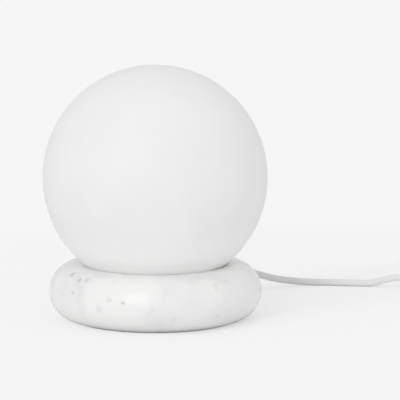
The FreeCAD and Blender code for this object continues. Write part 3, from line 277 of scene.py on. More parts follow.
class Finish:
    """A material under construction: each call adds nodes, and takes numbers, colours or nodes' outputs."""

    def __init__(self, name, roughness, metallic=0.0, **sockets):
        self.material = bpy.data.materials.new(name)
        self.material.use_nodes = True
        self.tree = self.material.node_tree
        self.shader = self.tree.nodes["Principled BSDF"]
        self.shader.inputs["Metallic"].default_value = metallic
        self.shader.inputs["Roughness"].default_value = roughness
        for socket, value in sockets.items():
            self.shader.inputs[socket.replace("_", " ")].default_value = value
        self.place = self.add("TexCoord").outputs["Object"]

    def add(self, kind, inputs=(), **settings):
        node = self.tree.nodes.new("ShaderNode" + kind)
        for name, value in settings.items():
            setattr(node, name, value)
        for name, value in dict(inputs).items():
            self.feed(node.inputs[name], value)
        return node

    def feed(self, socket, value):
        if isinstance(value, bpy.types.NodeSocket):
            self.tree.links.new(value, socket)
        else:
            socket.default_value = value

    def noise(self, size, detail=3.0, roughness=0.5, distortion=0.0, place=None):
        """Cloudy values round 0.5, with lumps of about that size, in metres."""
        node = self.add("TexNoise", {
            "Vector": place or self.place,
            "Scale": 1 / size,
            "Detail": detail,
            "Roughness": roughness,
            "Distortion": distortion,
        })
        return node.outputs["Fac"]

    def cells(self, size, feature="F1", **settings):
        """Distance to the nearest of points spread about that size apart, as a share of it."""
        node = self.add("TexVoronoi", {"Vector": self.place, "Scale": 1 / size}, feature=feature, **settings)
        return node.outputs["Distance"]

    def sums(self, operation, first, second=0.0, clamp=False):
        node = self.add("Math", operation=operation, use_clamp=clamp)
        self.feed(node.inputs[0], first)
        self.feed(node.inputs[1], second)
        return node.outputs[0]

    def span(self, value, low, high, to_low=0.0, to_high=1.0):
        """The value taken from one span to another, smoothly and held at the ends."""
        node = self.add("MapRange", {
            "Value": value,
            "From Min": low,
            "From Max": high,
            "To Min": to_low,
            "To Max": to_high,
        }, interpolation_type="SMOOTHSTEP")
        return node.outputs["Result"]

    def blend(self, share, first, second, kind="RGBA"):
        """A mix of two colours, or of two numbers where the kind is VALUE."""
        node = self.add("Mix", {"Factor": share}, data_type={"RGBA": "RGBA", "VALUE": "FLOAT"}[kind])
        mixed = [socket for socket in node.inputs if socket.type == kind][-2:]
        self.feed(mixed[0], first)
        self.feed(mixed[1], second)
        return [socket for socket in node.outputs if socket.type == kind][0]

    def parts(self, vector=None):
        """The X, Y and Z of a vector, or else of the place on the object."""
        return self.add("SeparateXYZ", {"Vector": vector or self.place}).outputs

    def measured(self, operation, second, first=None):
        """A number from two vectors, the first of them the place on the object if it isn't given."""
        node = self.add("VectorMath", {0: first or self.place, 1: second}, operation=operation)
        return node.outputs["Value"]

    def from_circle(self, radius, height):
        """Distance from a level circle about the lamp's axis, in metres."""
        parts = self.parts()
        flat = self.add("CombineXYZ", {"X": parts["X"], "Y": parts["Y"]}).outputs[0]
        reach = self.measured("DISTANCE", (0, 0, 0), flat)
        section = self.add("CombineXYZ", {"X": reach, "Y": parts["Z"]}).outputs[0]
        return self.measured("DISTANCE", (radius, height, 0), section)

    def scaled(self, colour, share):
        """A colour made darker or lighter by a share."""
        return self.add("VectorMath", {0: colour, "Scale": share}, operation="SCALE").outputs["Vector"]

    def stretched(self, scale):
        """The place on the object, scaled for a grain that runs one way."""
        return self.add("Mapping", {"Vector": self.place, "Scale": scale}).outputs["Vector"]

    def coloured(self, colour):
        self.feed(self.shader.inputs["Base Color"], colour)

    def gloss(self, value):
        self.feed(self.shader.inputs["Roughness"], value)

    def relief(self, height, depth, strength=1.0):
        """Bump of that depth, in metres, from a height between 0 and 1."""
        node = self.add("Bump", {"Height": height, "Distance": depth, "Strength": strength})
        self.feed(self.shader.inputs["Normal"], node.outputs["Normal"])


def grey(level, warmth=0.0):
    """A near-neutral colour, a little warm or, below zero, cool."""
    return (level * (1 + warmth), level, level * (1 - warmth), 1)


def ring_point(azimuth, around):
    """The point on the ring's skin at that azimuth and angle round its tube, in degrees."""
    radius = RING_MEAN_RADIUS + RING_TUBE_RADIUS * math.cos(math.radians(around))
    height = RING_CENTRE_HEIGHT + RING_TUBE_RADIUS * math.sin(math.radians(around))
    return (radius * math.cos(math.radians(azimuth)), radius * math.sin(math.radians(azimuth)), height)


def crossing(first, first_radius, second, second_radius, side):
    """Where two circles in the profile's plane cross, on that side of the line between their centres."""
    between = Vector(second) - Vector(first)
    reach = (first_radius ** 2 - second_radius ** 2 + between.length_squared) / (2 * between.length)
    rise = math.sqrt(first_radius ** 2 - reach ** 2)
    along = between.normalized()
    return Vector(first) + along * reach + Vector((-along.y, along.x)) * rise * side


def stone_lips():
    """Where the ring's skin and its dish for the globe meet, outside and inside, as (radius, height)."""
    tube = (RING_MEAN_RADIUS, RING_CENTRE_HEIGHT)
    globe = (0.0, GLOBE_CENTRE_HEIGHT)
    return [crossing(tube, RING_TUBE_RADIUS, globe, GLOBE_RADIUS + SEAT_GAP, side) for side in (-1, 1)]


def polished_marble():
    """White marble with soft grey clouds and bands and clusters of dark grains, painted lighter at the dish's
    lip, a painted light on the shaded seam with the globe.
    """
    finish = Finish("polished marble", 0.03, Subsurface_Weight=0.8, Subsurface_Radius=(1, 1, 0.95),
                    Subsurface_Scale=9 * MM)
    clouds = finish.span(finish.noise(48 * MM, 4, 0.55, 0.6), 0.38, 0.66)
    colour = finish.blend(clouds, grey(0.850, 0.004), grey(0.805, -0.002))
    line = finish.sums("ABSOLUTE", finish.sums("SUBTRACT", finish.noise(105 * MM, 3, 0.5, 0.35), 0.5))
    band = finish.sums("MULTIPLY", finish.span(line, 0.0, 0.055, 0.11, 0.0), finish.span(clouds, 0.2, 0.8))
    colour = finish.blend(band, colour, grey(0.45, -0.015))
    # Painted light: the stone's colour is made lighter near the dish's lip, where the seam with the globe
    # lies in shade.
    lip_painted_light = finish.span(finish.from_circle(*stone_lips()[0]), *LIP_LIGHTENING_SPAN, 0.8, 0.0)
    colour = finish.blend(lip_painted_light, colour, grey(0.94))
    grains = finish.noise(2.0 * MM, 3, 0.6, 0.4)
    marks = 0.0
    for azimuth, around, radius, darkness in MARBLE_MARKS:
        gap = finish.measured("DISTANCE", ring_point(azimuth, around))
        near = finish.span(gap, radius * MM * 0.2, radius * MM, darkness, 0.0)
        marks = finish.sums("MAXIMUM", near, marks)
    speckled = finish.sums("MULTIPLY", marks, finish.span(grains, 0.48, 0.62, 0.0, 0.9), True)
    stained = finish.sums("MULTIPLY", marks, 0.22)
    colour = finish.blend(finish.sums("ADD", speckled, stained, True), colour, grey(0.40, 0.01))
    finish.coloured(colour)
    finish.gloss(finish.span(finish.noise(9 * MM, 4, 0.6), 0.3, 0.7, 0.025, 0.045))
    finish.relief(grains, 0.02 * MM, 0.35)
    return finish.material


def satin_opal_glass():
    """Mouth-blown opal glass, etched to a satin skin: faint clouds, a fine tooth, a painted lighter tone
    towards the neck on its shaded lower part, and a painted glow at the seam."""
    finish = Finish("satin opal glass", 0.5, Subsurface_Weight=0.4, Subsurface_Radius=(1, 1, 0.95),
                    Subsurface_Scale=3 * MM)
    clouds = finish.span(finish.noise(55 * MM, 2, 0.5, 0.3), 0.3, 0.7)
    place = finish.parts()
    # Painted light: the colour is lighter towards the neck, on the globe's shaded lower part.
    lower_painted_light = finish.span(place["Z"], *NECK_PAINTED_LIGHT, 1.0, 0.0)
    body = finish.blend(clouds, (0.816, 0.819, 0.812, 1), (0.834, 0.837, 0.831, 1))
    finish.coloured(finish.blend(lower_painted_light, body, (0.913, 0.914, 0.908, 1)))
    finish.gloss(finish.span(finish.noise(14 * MM, 3, 0.6), 0.3, 0.7, 0.44, 0.54))
    # Painted glow: emission that lightens the glass at the seam, where the ring shades it, fading towards the
    # shaded side.
    seam_painted_glow = finish.span(place["Z"], SEAM_HEIGHT, SEAM_HEIGHT + SEAM_REACH, SEAM_GLOW, 0.0)
    for share in (finish.span(place["Z"], SEAM_HEIGHT - SEAM_REACH, SEAM_HEIGHT - SEAM_HIDDEN),
                  finish.span(place["X"], *SHADED_SIDE, 1.0, 0.0)):
        seam_painted_glow = finish.sums("MULTIPLY", seam_painted_glow, share)
    finish.feed(finish.shader.inputs["Emission Color"], (1, 1, 0.99, 1))
    finish.feed(finish.shader.inputs["Emission Strength"], seam_painted_glow)
    finish.relief(finish.noise(0.35 * MM, 2, 0.6), 0.012 * MM, 0.5)
    return finish.material


def braided_cloth():
    """Textile cover braided of fine yarns, on the piece's own UV map: u once round, v in turns of its girth.
    Its colour is darker close to the lamp, a painted shade of the lamp's shadow, and lighter further out."""
    finish = Finish("braided textile", 0.78, Sheen_Weight=0.25, Sheen_Roughness=0.4)
    parts = finish.parts(finish.add("UVMap").outputs["UV"])
    around = finish.sums("MULTIPLY", parts["X"], BRAID_CARRIERS)
    along = finish.sums("MULTIPLY", parts["Y"], BRAID_CARRIERS * BRAID_SLOPE)
    waves = []
    counts = []
    for way in (finish.sums("ADD", around, along), finish.sums("SUBTRACT", around, along)):
        waves.append(finish.sums("SINE", finish.sums("MULTIPLY", finish.sums("FRACT", way), math.pi)))
        counts.append(finish.sums("FLOOR", way))
    parity = finish.sums("FRACT", finish.sums("MULTIPLY", finish.sums("ADD", *counts), 0.5))
    height = finish.blend(finish.sums("GREATER_THAN", parity, 0.25), *waves, "VALUE")
    fibres = finish.noise(0.5 * MM, 3, 0.7)
    # Painted shade: the colour is darker between the yarns, where the braid's grooves lie.
    shade = finish.span(height, 0.0, 0.55)
    colour = finish.blend(shade, grey(0.56, 0.008), grey(0.78, 0.003))
    colour = finish.blend(finish.span(fibres, 0.35, 0.75, 0.0, 0.35), colour, grey(0.80))
    # Painted shade and light: the colour is darker near the lamp, in its shadow, and lighter further out.
    cord_painted_shade = finish.span(finish.parts()["X"], *CORD_PAINTED_SHADE_SPAN, *CORD_PAINTED_SHADE_LEVELS)
    finish.coloured(finish.scaled(colour, cord_painted_shade))
    finish.relief(finish.sums("ADD", height, finish.sums("MULTIPLY", fibres, 0.4)), 0.10 * MM, 0.8)
    return finish.material


def woven_strap():
    """Narrow woven band, on the piece's own UV map in millimetres: u along, v across."""
    finish = Finish("woven strap", 0.82, Sheen_Weight=0.3, Sheen_Roughness=0.5)
    parts = finish.parts(finish.add("UVMap").outputs["UV"])
    threads = []
    for axis, count in (("X", 1.25), ("Y", 1.6)):
        threads.append(finish.sums("SINE", finish.sums("MULTIPLY", parts[axis], count * 2 * math.pi)))
    height = finish.span(finish.sums("MULTIPLY", threads[0], threads[1]), -0.9, 0.9)
    fibres = finish.noise(0.4 * MM, 3, 0.7)
    colour = finish.blend(height, grey(0.42), grey(0.60))
    finish.coloured(finish.blend(finish.span(fibres, 0.4, 0.8, 0.0, 0.3), colour, grey(0.70)))
    finish.relief(finish.sums("ADD", height, finish.sums("MULTIPLY", fibres, 0.5)), 0.12 * MM, 0.8)
    return finish.material


def turned_metal(name, colour, roughness, grain, tarnish=0.12):
    """Machined or drawn metal: a fine directional grain, cloudy gloss and a little tarnish."""
    finish = Finish(name, roughness, 1.0)
    brushed = finish.noise(grain, 4, 0.6, 0.0, finish.stretched((1, 1, 14)))
    clouds = finish.span(finish.noise(6 * MM, 3, 0.6, 0.4), 0.35, 0.7, 0.0, tarnish)
    dull = tuple(channel * 0.55 for channel in colour[:3]) + (1,)
    finish.coloured(finish.blend(clouds, colour, dull))
    finish.gloss(finish.span(brushed, 0.3, 0.7, roughness * 0.8, min(roughness * 1.35, 1.0)))
    finish.relief(brushed, 0.01 * MM, 0.5)
    return finish.material


def moulded_plastic(name, colour, roughness, tooth=0.25 * MM, depth=0.012 * MM, mottle=0.04, **sockets):
    """Injection-moulded plastic: a fine eroded tooth, slightly uneven gloss and a faint mottle."""
    finish = Finish(name, roughness, **sockets)
    clouds = finish.span(finish.noise(11 * MM, 3, 0.55, 0.3), 0.3, 0.7)
    low = tuple(channel * (1 - mottle) for channel in colour[:3]) + (1,)
    finish.coloured(finish.blend(clouds, low, colour))
    rougher = min(roughness * 1.15, 1.0)
    finish.gloss(finish.span(finish.noise(4 * MM, 3, 0.6), 0.3, 0.7, roughness * 0.88, rougher))
    finish.relief(finish.noise(tooth, 3, 0.65), depth, 0.7)
    return finish.material


def glazed_ceramic():
    """Cream steatite with a thin glaze and fine dark grains."""
    finish = Finish("steatite", 0.3, Coat_Weight=0.3)
    grains = finish.span(finish.cells(1.6 * MM), 0.0, 0.16, 1.0, 0.0)
    kept = finish.sums("MULTIPLY", grains, finish.span(finish.noise(3 * MM), 0.5, 0.6))
    body = finish.blend(finish.noise(7 * MM), grey(0.74, 0.03), grey(0.82, 0.03))
    finish.coloured(finish.blend(finish.sums("MULTIPLY", kept, 0.5), body, grey(0.35, 0.05)))
    finish.gloss(finish.span(finish.noise(2 * MM), 0.3, 0.7, 0.24, 0.38))
    finish.relief(finish.noise(0.8 * MM), 0.02 * MM, 0.5)
    return finish.material


def circuit_board(name, mask, track, width):
    """Board with solder mask and square-cornered copper tracks that show faintly through it."""
    finish = Finish(name, 0.35, Coat_Weight=0.2)
    second = finish.cells(width * 4, "F2", distance="CHEBYCHEV")
    first = finish.cells(width * 4, distance="CHEBYCHEV")
    gap = finish.sums("SUBTRACT", second, first)
    copper = finish.span(gap, 0.10, 0.16)
    colour = finish.blend(copper, mask, track)
    finish.coloured(finish.blend(finish.span(finish.noise(3 * MM), 0.4, 0.8, 0.0, 0.15), colour, mask))
    finish.relief(copper, 0.03 * MM, 0.6)
    return finish.material


FINISHES = {
    "marble": polished_marble(),
    "opal_glass": satin_opal_glass(),
    "cord_cloth": braided_cloth(),
    "tie_cloth": woven_strap(),
    "pad_rubber": moulded_plastic("foot pad rubber", grey(0.84), 0.8, 0.8 * MM, 0.06 * MM, 0.15),
    "seal_silicone": moulded_plastic("clear silicone", grey(0.66), 0.45, 0.5 * MM, 0.01 * MM, 0.05,
                                     Subsurface_Weight=0.3, Subsurface_Radius=(1, 1, 1),
                                     Subsurface_Scale=1 * MM),
    "zinc_steel": turned_metal("zinc-plated steel", (0.74, 0.75, 0.77, 1), 0.34, 1.2 * MM),
    "spring_steel": turned_metal("spring steel", (0.60, 0.60, 0.62, 1), 0.26, 0.9 * MM, 0.2),
    "contact_brass": turned_metal("contact brass", (0.86, 0.68, 0.36, 1), 0.30, 1.0 * MM, 0.25),
    "cap_metal": turned_metal("nickel-plated cap", (0.80, 0.78, 0.74, 1), 0.24, 0.9 * MM),
    "plated_brass": turned_metal("nickel-plated pins", (0.82, 0.80, 0.76, 1), 0.20, 0.9 * MM, 0.08),
    "grip_plastic": moulded_plastic("cord grip nylon", grey(0.72, 0.015), 0.5),
    "white_plastic": moulded_plastic("white moulded plastic", grey(0.80, 0.006), 0.42),
    "holder_plastic": moulded_plastic("lampholder resin", grey(0.76, 0.012), 0.38),
    "bulb_plastic": moulded_plastic("bulb housing plastic", grey(0.82), 0.4),
    "dome_plastic": moulded_plastic("bulb dome plastic", grey(0.86), 0.36, 0.3 * MM, 0.006 * MM, 0.02,
                                    Subsurface_Weight=0.2, Subsurface_Radius=(1, 1, 1),
                                    Subsurface_Scale=1 * MM),
    "bulb_insulation": moulded_plastic("black cap insulator", grey(0.03), 0.25, 0.4 * MM, 0.02 * MM, 0.3,
                                       Coat_Weight=0.4),
    "wire_brown": moulded_plastic("brown wire sleeve", (0.17, 0.07, 0.035, 1), 0.4, 0.5 * MM, 0.01 * MM,
                                  0.15),
    "wire_blue": moulded_plastic("blue wire sleeve", (0.03, 0.14, 0.40, 1), 0.4, 0.5 * MM, 0.01 * MM, 0.15),
    "capacitor_sleeve": moulded_plastic("capacitor sleeve", (0.035, 0.05, 0.10, 1), 0.3, 0.5 * MM, 0.01 * MM,
                                        0.2),
    "chip_yellow": moulded_plastic("phosphor", (0.86, 0.62, 0.10, 1), 0.5, 0.3 * MM, 0.02 * MM, 0.08),
    "core_ceramic": glazed_ceramic(),
    "board_white": circuit_board("white solder mask", grey(0.80), grey(0.70), 1.6 * MM),
    "board_green": circuit_board("green solder mask", (0.02, 0.17, 0.07, 1), (0.05, 0.30, 0.12, 1), 0.9 * MM),
}


def dress_solids():
    """Give every solid of the frame the finish of its slot."""
    for node in frame["nodes"].values():
        for place in node.material_slots:
            place.material = FINISHES[place.material.name.split(".")[0]]


def in_scene(name, data):
    """A new object of that data, in the scene."""
    holder = bpy.data.objects.new(name, data)
    bpy.context.scene.collection.objects.link(holder)
    return holder


def smooth_line(route):
    """The points of the smooth curve that has the route's points as its control points."""
    curve = bpy.data.curves.new("route", "CURVE")
    curve.dimensions = "3D"
    curve.resolution_u = 12
    spline = curve.splines.new("NURBS")
    spline.points.add(len(route) - 1)
    for point, place in zip(spline.points, route):
        point.co = (*place, 1)
    spline.order_u = 3
    spline.use_endpoint_u = True
    holder = in_scene("route", curve)
    line = bpy.data.meshes.new_from_object(holder)
    points = [vertex.co.copy() for vertex in line.vertices]
    bpy.data.objects.remove(holder)
    bpy.data.curves.remove(curve)
    bpy.data.meshes.remove(line)
    return points


def evenly(points, step):
    """Points on the same line at an even spacing close to step, with its length."""
    reached = [0.0]
    for before, after in zip(points, points[1:]):
        reached.append(reached[-1] + (after - before).length)
    count = max(round(reached[-1] / step), 2)
    spaced = []
    part = 0
    for number in range(count + 1):
        goal = reached[-1] * number / count
        while part < len(points) - 2 and reached[part + 1] < goal:
            part += 1
        run = max(reached[part + 1] - reached[part], 1e-9)
        spaced.append(points[part].lerp(points[part + 1], (goal - reached[part]) / run))
    return spaced, reached[-1]


def new_piece(name, points, faces, finish, uvs=None):
    """A mesh object at the origin, in its finish; uvs holds one (u, v) for each face corner."""
    mesh = bpy.data.meshes.new(name)
    mesh.from_pydata([tuple(point) for point in points], [], faces)
    if uvs:
        layer = mesh.uv_layers.new(name="UVMap")
        for loop, corner in zip(layer.data, uvs):
            loop.uv = corner
    mesh.polygons.foreach_set("use_smooth", [True] * len(faces))
    mesh.materials.append(FINISHES[finish])
    mesh.update()
    return in_scene(name, mesh)


def mount(piece, body, *nodes):
    """Hand a finished piece over: the body it rides on and the solids it stands for."""
    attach(piece, body)
    if nodes:
        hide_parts(*nodes)
    return piece


def braid_height(around, along):
    """Height of the yarns between -1 and 0, where around and along count in turns of the girth."""
    right = BRAID_CARRIERS * (around + along * BRAID_SLOPE)
    left = BRAID_CARRIERS * (around - along * BRAID_SLOPE)
    return math.sin(math.pi * (right % 1)) * math.sin(math.pi * (left % 1)) - 1


def braided_tube(name, route, sides, step):
    """A cord along the route: a closed tube whose skin carries the braid's relief. Gives it with its line."""
    line, length = evenly(smooth_line(route), step)
    radius = CORD_DIAMETER / 2
    girth = 2 * math.pi * radius
    reached = [length * number / (len(line) - 1) / girth for number in range(len(line))]
    across = (line[1] - line[0]).normalized().orthogonal().normalized()
    points = []
    for number, centre in enumerate(line):
        before = line[max(number - 1, 0)]
        after = line[min(number + 1, len(line) - 1)]
        along = (after - before).normalized()
        across = (across - along * across.dot(along)).normalized()
        upright = along.cross(across)
        for side in range(sides):
            angle = 2 * math.pi * side / sides
            reach = radius + BRAID_RELIEF * braid_height(side / sides, reached[number])
            points.append(centre + (across * math.cos(angle) + upright * math.sin(angle)) * reach)
    faces = []
    uvs = []
    for number, (low, high) in enumerate(zip(reached, reached[1:])):
        for side in range(sides):
            other = (side + 1) % sides
            here = number * sides
            faces.append((here + side, here + other, here + sides + other, here + sides + side))
            left = side / sides
            right = (side + 1) / sides
            uvs += [(left, low), (right, low), (right, high), (left, high)]
    last = (len(line) - 1) * sides
    faces.append(tuple(range(sides - 1, -1, -1)))
    faces.append(tuple(range(last, last + sides)))
    uvs += [(0.5, 0.0)] * (2 * sides)
    return new_piece(name, points, faces, "cord_cloth", uvs), line


def make_cords(boot, switch_parts, plug_parts):
    """The lead from the lamp to the switch, the tail from the switch to the plug, and the sheath inside."""
    nodes = frame["nodes"]
    lead, line = braided_tube("cord_to_switch", LEAD_ROUTE, **FINE_TUBE)
    mount(lead, "root", "cord_lead")
    switch_parts += [boot, nodes["switch_contacts"], nodes["switch_screws"]]
    tail, line = braided_tube("cord_to_plug", TAIL_ROUTE, **COARSE_TUBE)
    mount(tail, "root", "cord_tail", "cord_coil", "cord_end")
    inner, _ = braided_tube("sheath_in_base", SHEATH_ROUTE, **FINE_TUBE)
    mount(inner, "root", "inner_cord")


def arc(centre, radius, start, end, step=3.0):
    """Points on a circle in the profile's plane, from one angle to another in degrees, ends included."""
    count = max(round(abs(end - start) / step), 1)
    angles = [math.radians(start + (end - start) * number / count) for number in range(count + 1)]
    return [(centre[0] + radius * math.cos(angle), centre[1] + radius * math.sin(angle)) for angle in angles]


def turned(name, profile, finish, sides=256):
    """A solid of revolution about the lamp's axis. Its profile of (radius, height) goes round anticlockwise;
    a profile that starts and ends on the axis is closed there."""
    points = []
    rings = []
    for radius, height in profile:
        if radius < 1e-9:
            rings.append([len(points)] * sides)
            points.append((0, 0, height))
            continue
        rings.append(list(range(len(points), len(points) + sides)))
        for side in range(sides):
            angle = 2 * math.pi * side / sides
            points.append((radius * math.cos(angle), radius * math.sin(angle), height))
    faces = []
    for here, there in zip(rings, rings[1:] + rings[:1]):
        for side in range(sides):
            other = (side + 1) % sides
            corners = (here[side], here[other], there[other], there[side])
            face = tuple(dict.fromkeys(corners))
            if len(face) > 2:
                faces.append(face)
    return new_piece(name, points, faces, finish)


def spun(name, profile, finish, start, way, sides=64):
    """A solid of revolution whose axis leaves start that way; its profile is (radius, distance along)."""
    piece = turned(name, profile, finish, sides)
    turn = Vector(way).to_track_quat("Z", "Y").to_matrix().to_4x4()
    piece.data.transform(Matrix.Translation(start) @ turn)
    return piece


def settle(piece):
    """Turn a piece's modifiers into plain mesh, with its edges sharp where faces turn by over 30 degrees."""
    graph = bpy.context.evaluated_depsgraph_get()
    mesh = bpy.data.meshes.new_from_object(piece.evaluated_get(graph))
    piece.modifiers.clear()
    piece.data = mesh
    mesh.set_sharp_from_angle(angle=math.radians(30))


def eased(piece, width, angle):
    """Round a piece's edges off where its faces turn by more than the angle, in degrees."""
    bevel = piece.modifiers.new("eased edges", "BEVEL")
    bevel.width = width
    bevel.segments = 3
    bevel.limit_method = "ANGLE"
    bevel.angle_limit = math.radians(angle)


def bearing(centre, point):
    """The angle of a point seen from a centre, in degrees."""
    return math.degrees(math.atan2(point[1] - centre[1], point[0] - centre[0]))


def make_stone():
    """The marble ring: a round tube of stone, dished for the globe, bored and rebated for the fittings."""
    tube = (RING_MEAN_RADIUS, RING_CENTRE_HEIGHT)
    globe = (0.0, GLOBE_CENTRE_HEIGHT)
    outer, inner = stone_lips()
    foot = -math.degrees(math.asin((RING_CENTRE_HEIGHT - PAD_THICKNESS) / RING_TUBE_RADIUS))
    lip = 180 - math.degrees(math.acos((RING_MEAN_RADIUS - WELL_RADIUS) / RING_TUBE_RADIUS))
    profile = arc(tube, RING_TUBE_RADIUS, foot, bearing(tube, outer))
    profile += arc(globe, GLOBE_RADIUS + SEAT_GAP, bearing(globe, outer), bearing(globe, inner), 0.5)[1:]
    profile += arc(tube, RING_TUBE_RADIUS, bearing(tube, inner), lip)[1:]
    profile += [
        (WELL_RADIUS, LEDGE_HEIGHT),
        (BORE_RADIUS, LEDGE_HEIGHT),
        (BORE_RADIUS, REBATE_TOP),
        (REBATE_RADIUS, REBATE_TOP),
        (REBATE_RADIUS, PAD_THICKNESS),
    ]
    stone = turned("marble_ring_stone", profile, "marble")
    eased(stone, STONE_EASE, 45)
    bore = [(0, 0), (CORD_HOLE_RADIUS, 0), (CORD_HOLE_RADIUS, CORD_HOLE_DEPTH), (0, CORD_HOLE_DEPTH)]
    drill = spun("drill", bore, "marble", outward(CORD_HOLE_START), CORD_WAY)
    hole = stone.modifiers.new("cord hole", "BOOLEAN")
    hole.object = drill
    hole.solver = "EXACT"
    settle(stone)
    bpy.data.objects.remove(drill)
    mount(stone, "root", "marble_ring")


def make_globe():
    """The blown globe: an even wall, a soft shoulder into the short neck and a fire-polished rim."""
    centre = (0.0, GLOBE_CENTRE_HEIGHT)
    inner_radius = GLOBE_RADIUS - GLASS_WALL
    neck_inner = NECK_RADIUS - GLASS_WALL
    meets = -math.degrees(math.acos(NECK_RADIUS / GLOBE_RADIUS))
    leaves = -math.degrees(math.acos(neck_inner / inner_radius))
    rim = arc((NECK_RADIUS - GLASS_WALL / 2, NECK_END + GLASS_WALL / 2), GLASS_WALL / 2, 180, 360, 15)
    profile = arc(centre, GLOBE_RADIUS, meets + SHOULDER_TURN, 90, 1.5)
    profile[-1] = (0.0, centre[1] + GLOBE_RADIUS)
    inside = arc(centre, inner_radius, 90, leaves + SHOULDER_TURN, 1.5)
    inside[0] = (0.0, centre[1] + inner_radius)
    globe = turned("opal_globe", profile + inside + rim, "opal_glass")
    mount(globe, "globe", "glass_globe")


def face_outwards(mesh):
    work = bmesh.new()
    work.from_mesh(mesh)
    bmesh.ops.recalc_face_normals(work, faces=work.faces)
    work.to_mesh(mesh)
    work.free()


def skinned(name, sections, finish, along=None, across=None):
    """A skin through closed sections of equal count, capped at both ends. Where along and across are given,
    they are the sections' and the corners' places on its UV map."""
    count = len(sections[0])
    points = [point for section in sections for point in section]
    faces = []
    uvs = []
    for here in range(len(sections) - 1):
        for corner in range(count):
            other = (corner + 1) % count
            low = here * count
            faces.append((low + corner, low + other, low + count + other, low + count + corner))
            if along:
                uvs += [(along[here], across[corner]), (along[here], across[other]),
                        (along[here + 1], across[other]), (along[here + 1], across[corner])]
    for first, number in ((0, 0), (len(points) - count, -1)):
        faces.append(tuple(range(first, first + count)))
        if along:
            uvs += [(along[number], place) for place in across]
    piece = new_piece(name, points, faces, finish, uvs)
    face_outwards(piece.data)
    return piece


def rib(name, foot, along, up, size, finish):
    """A low half-round rib centred on its foot: along runs its length, and up is the way it stands out."""
    length, width, height = size
    along = Vector(along).normalized()
    up = Vector(up).normalized()
    across = along.cross(up)
    sections = []
    for place, share in ((-0.5, 0.5), (-0.46, 0.88), (-0.38, 1.0), (0.38, 1.0), (0.46, 0.88), (0.5, 0.5)):
        centre = Vector(foot) + along * length * place
        arch = []
        for step in range(7):
            angle = math.radians(30 * step)
            flat = across * (math.cos(angle) * width / 2 * share)
            arch.append(centre + flat + up * (math.sin(angle) * height * share))
        sections.append(arch + [arch[-1] - up * height * 0.5, arch[0] - up * height * 0.5])
    return skinned(name, sections, finish)


def copies_tree():
    """Geometry Nodes that repeat a piece: each copy is a step and a turn about the axis on from the last."""
    tree = bpy.data.node_groups.new("copies", "GeometryNodeTree")
    for name, kind in (("Geometry", "Geometry"), ("Count", "Int"), ("Step", "Vector"), ("Turn", "Float"),
                       ("Finish", "Material")):
        tree.interface.new_socket(name, in_out="INPUT", socket_type="NodeSocket" + kind)
    tree.interface.new_socket("Geometry", in_out="OUTPUT", socket_type="NodeSocketGeometry")
    given = tree.nodes.new("NodeGroupInput").outputs
    line = tree.nodes.new("GeometryNodeMeshLine")
    number = tree.nodes.new("GeometryNodeInputIndex")
    angle = tree.nodes.new("ShaderNodeMath")
    angle.operation = "MULTIPLY"
    turn = tree.nodes.new("ShaderNodeCombineXYZ")
    turned_by = tree.nodes.new("FunctionNodeEulerToRotation")
    placed = tree.nodes.new("GeometryNodeInstanceOnPoints")
    whole = tree.nodes.new("GeometryNodeRealizeInstances")
    dressed = tree.nodes.new("GeometryNodeSetMaterial")
    result = tree.nodes.new("NodeGroupOutput")
    for source, target in (
            (given["Count"], line.inputs["Count"]),
            (given["Step"], line.inputs["Offset"]),
            (number.outputs["Index"], angle.inputs[0]),
            (given["Turn"], angle.inputs[1]),
            (angle.outputs[0], turn.inputs["Z"]),
            (turn.outputs[0], turned_by.inputs[0]),
            (turned_by.outputs[0], placed.inputs["Rotation"]),
            (line.outputs["Mesh"], placed.inputs["Points"]),
            (given["Geometry"], placed.inputs["Instance"]),
            (placed.outputs["Instances"], whole.inputs["Geometry"]),
            (whole.outputs["Geometry"], dressed.inputs["Geometry"]),
            (given["Finish"], dressed.inputs["Material"]),
            (dressed.outputs["Geometry"], result.inputs["Geometry"])):
        tree.links.new(source, target)
    return tree


COPIES = copies_tree()


def repeated(piece, count, step=(0, 0, 0), turn=0.0):
    """Repeat a piece in a row, round the lamp's axis or both, and make the result plain mesh."""
    row = piece.modifiers.new("copies", "NODES")
    row.node_group = COPIES
    values = {"Count": count, "Step": step, "Turn": turn, "Finish": piece.data.materials[0]}
    for socket in COPIES.interface.items_tree:
        if socket.name in values:
            row[socket.identifier] = values[socket.name]
    settle(piece)
    return piece


def softened(node_name, name, width):
    """A copy of a solid's shape in white plastic, with its moulded edges eased."""
    mesh = bpy.data.meshes.new(name)
    work = bmesh.new()
    work.from_mesh(frame["nodes"][node_name].data)
    bmesh.ops.remove_doubles(work, verts=work.verts, dist=MM / 1000)
    bmesh.ops.dissolve_limit(work, angle_limit=math.radians(1), verts=work.verts, edges=work.edges)
    work.to_mesh(mesh)
    work.free()
    if "custom_normal" in mesh.attributes:
        mesh.attributes.remove(mesh.attributes["custom_normal"])
    mesh.materials.clear()
    mesh.materials.append(FINISHES["white_plastic"])
    mesh.polygons.foreach_set("material_index", [0] * len(mesh.polygons))
    mesh.polygons.foreach_set("use_smooth", [True] * len(mesh.polygons))
    piece = in_scene(name, mesh)
    eased(piece, width, 35)
    settle(piece)
    return piece


def ridged_taper(length, root, tip, ridges):
    """The profile of a strain relief, from its root to the middle of its tip; its grooves let it bend."""
    profile = [(root, 0)]
    start = length * 0.22
    pitch = length * 0.72 / ridges
    for number in range(ridges):
        low = start + pitch * number
        for place, depth in ((0.05, 0.0), (0.25, 0.45), (0.50, 0.45), (0.70, 0.0)):
            reached = low + pitch * place
            profile.append((root + (tip - root) * reached / length - depth * MM, reached))
    return profile + [(tip, length - 0.6 * MM), (tip - 0.4 * MM, length), (0, length)]


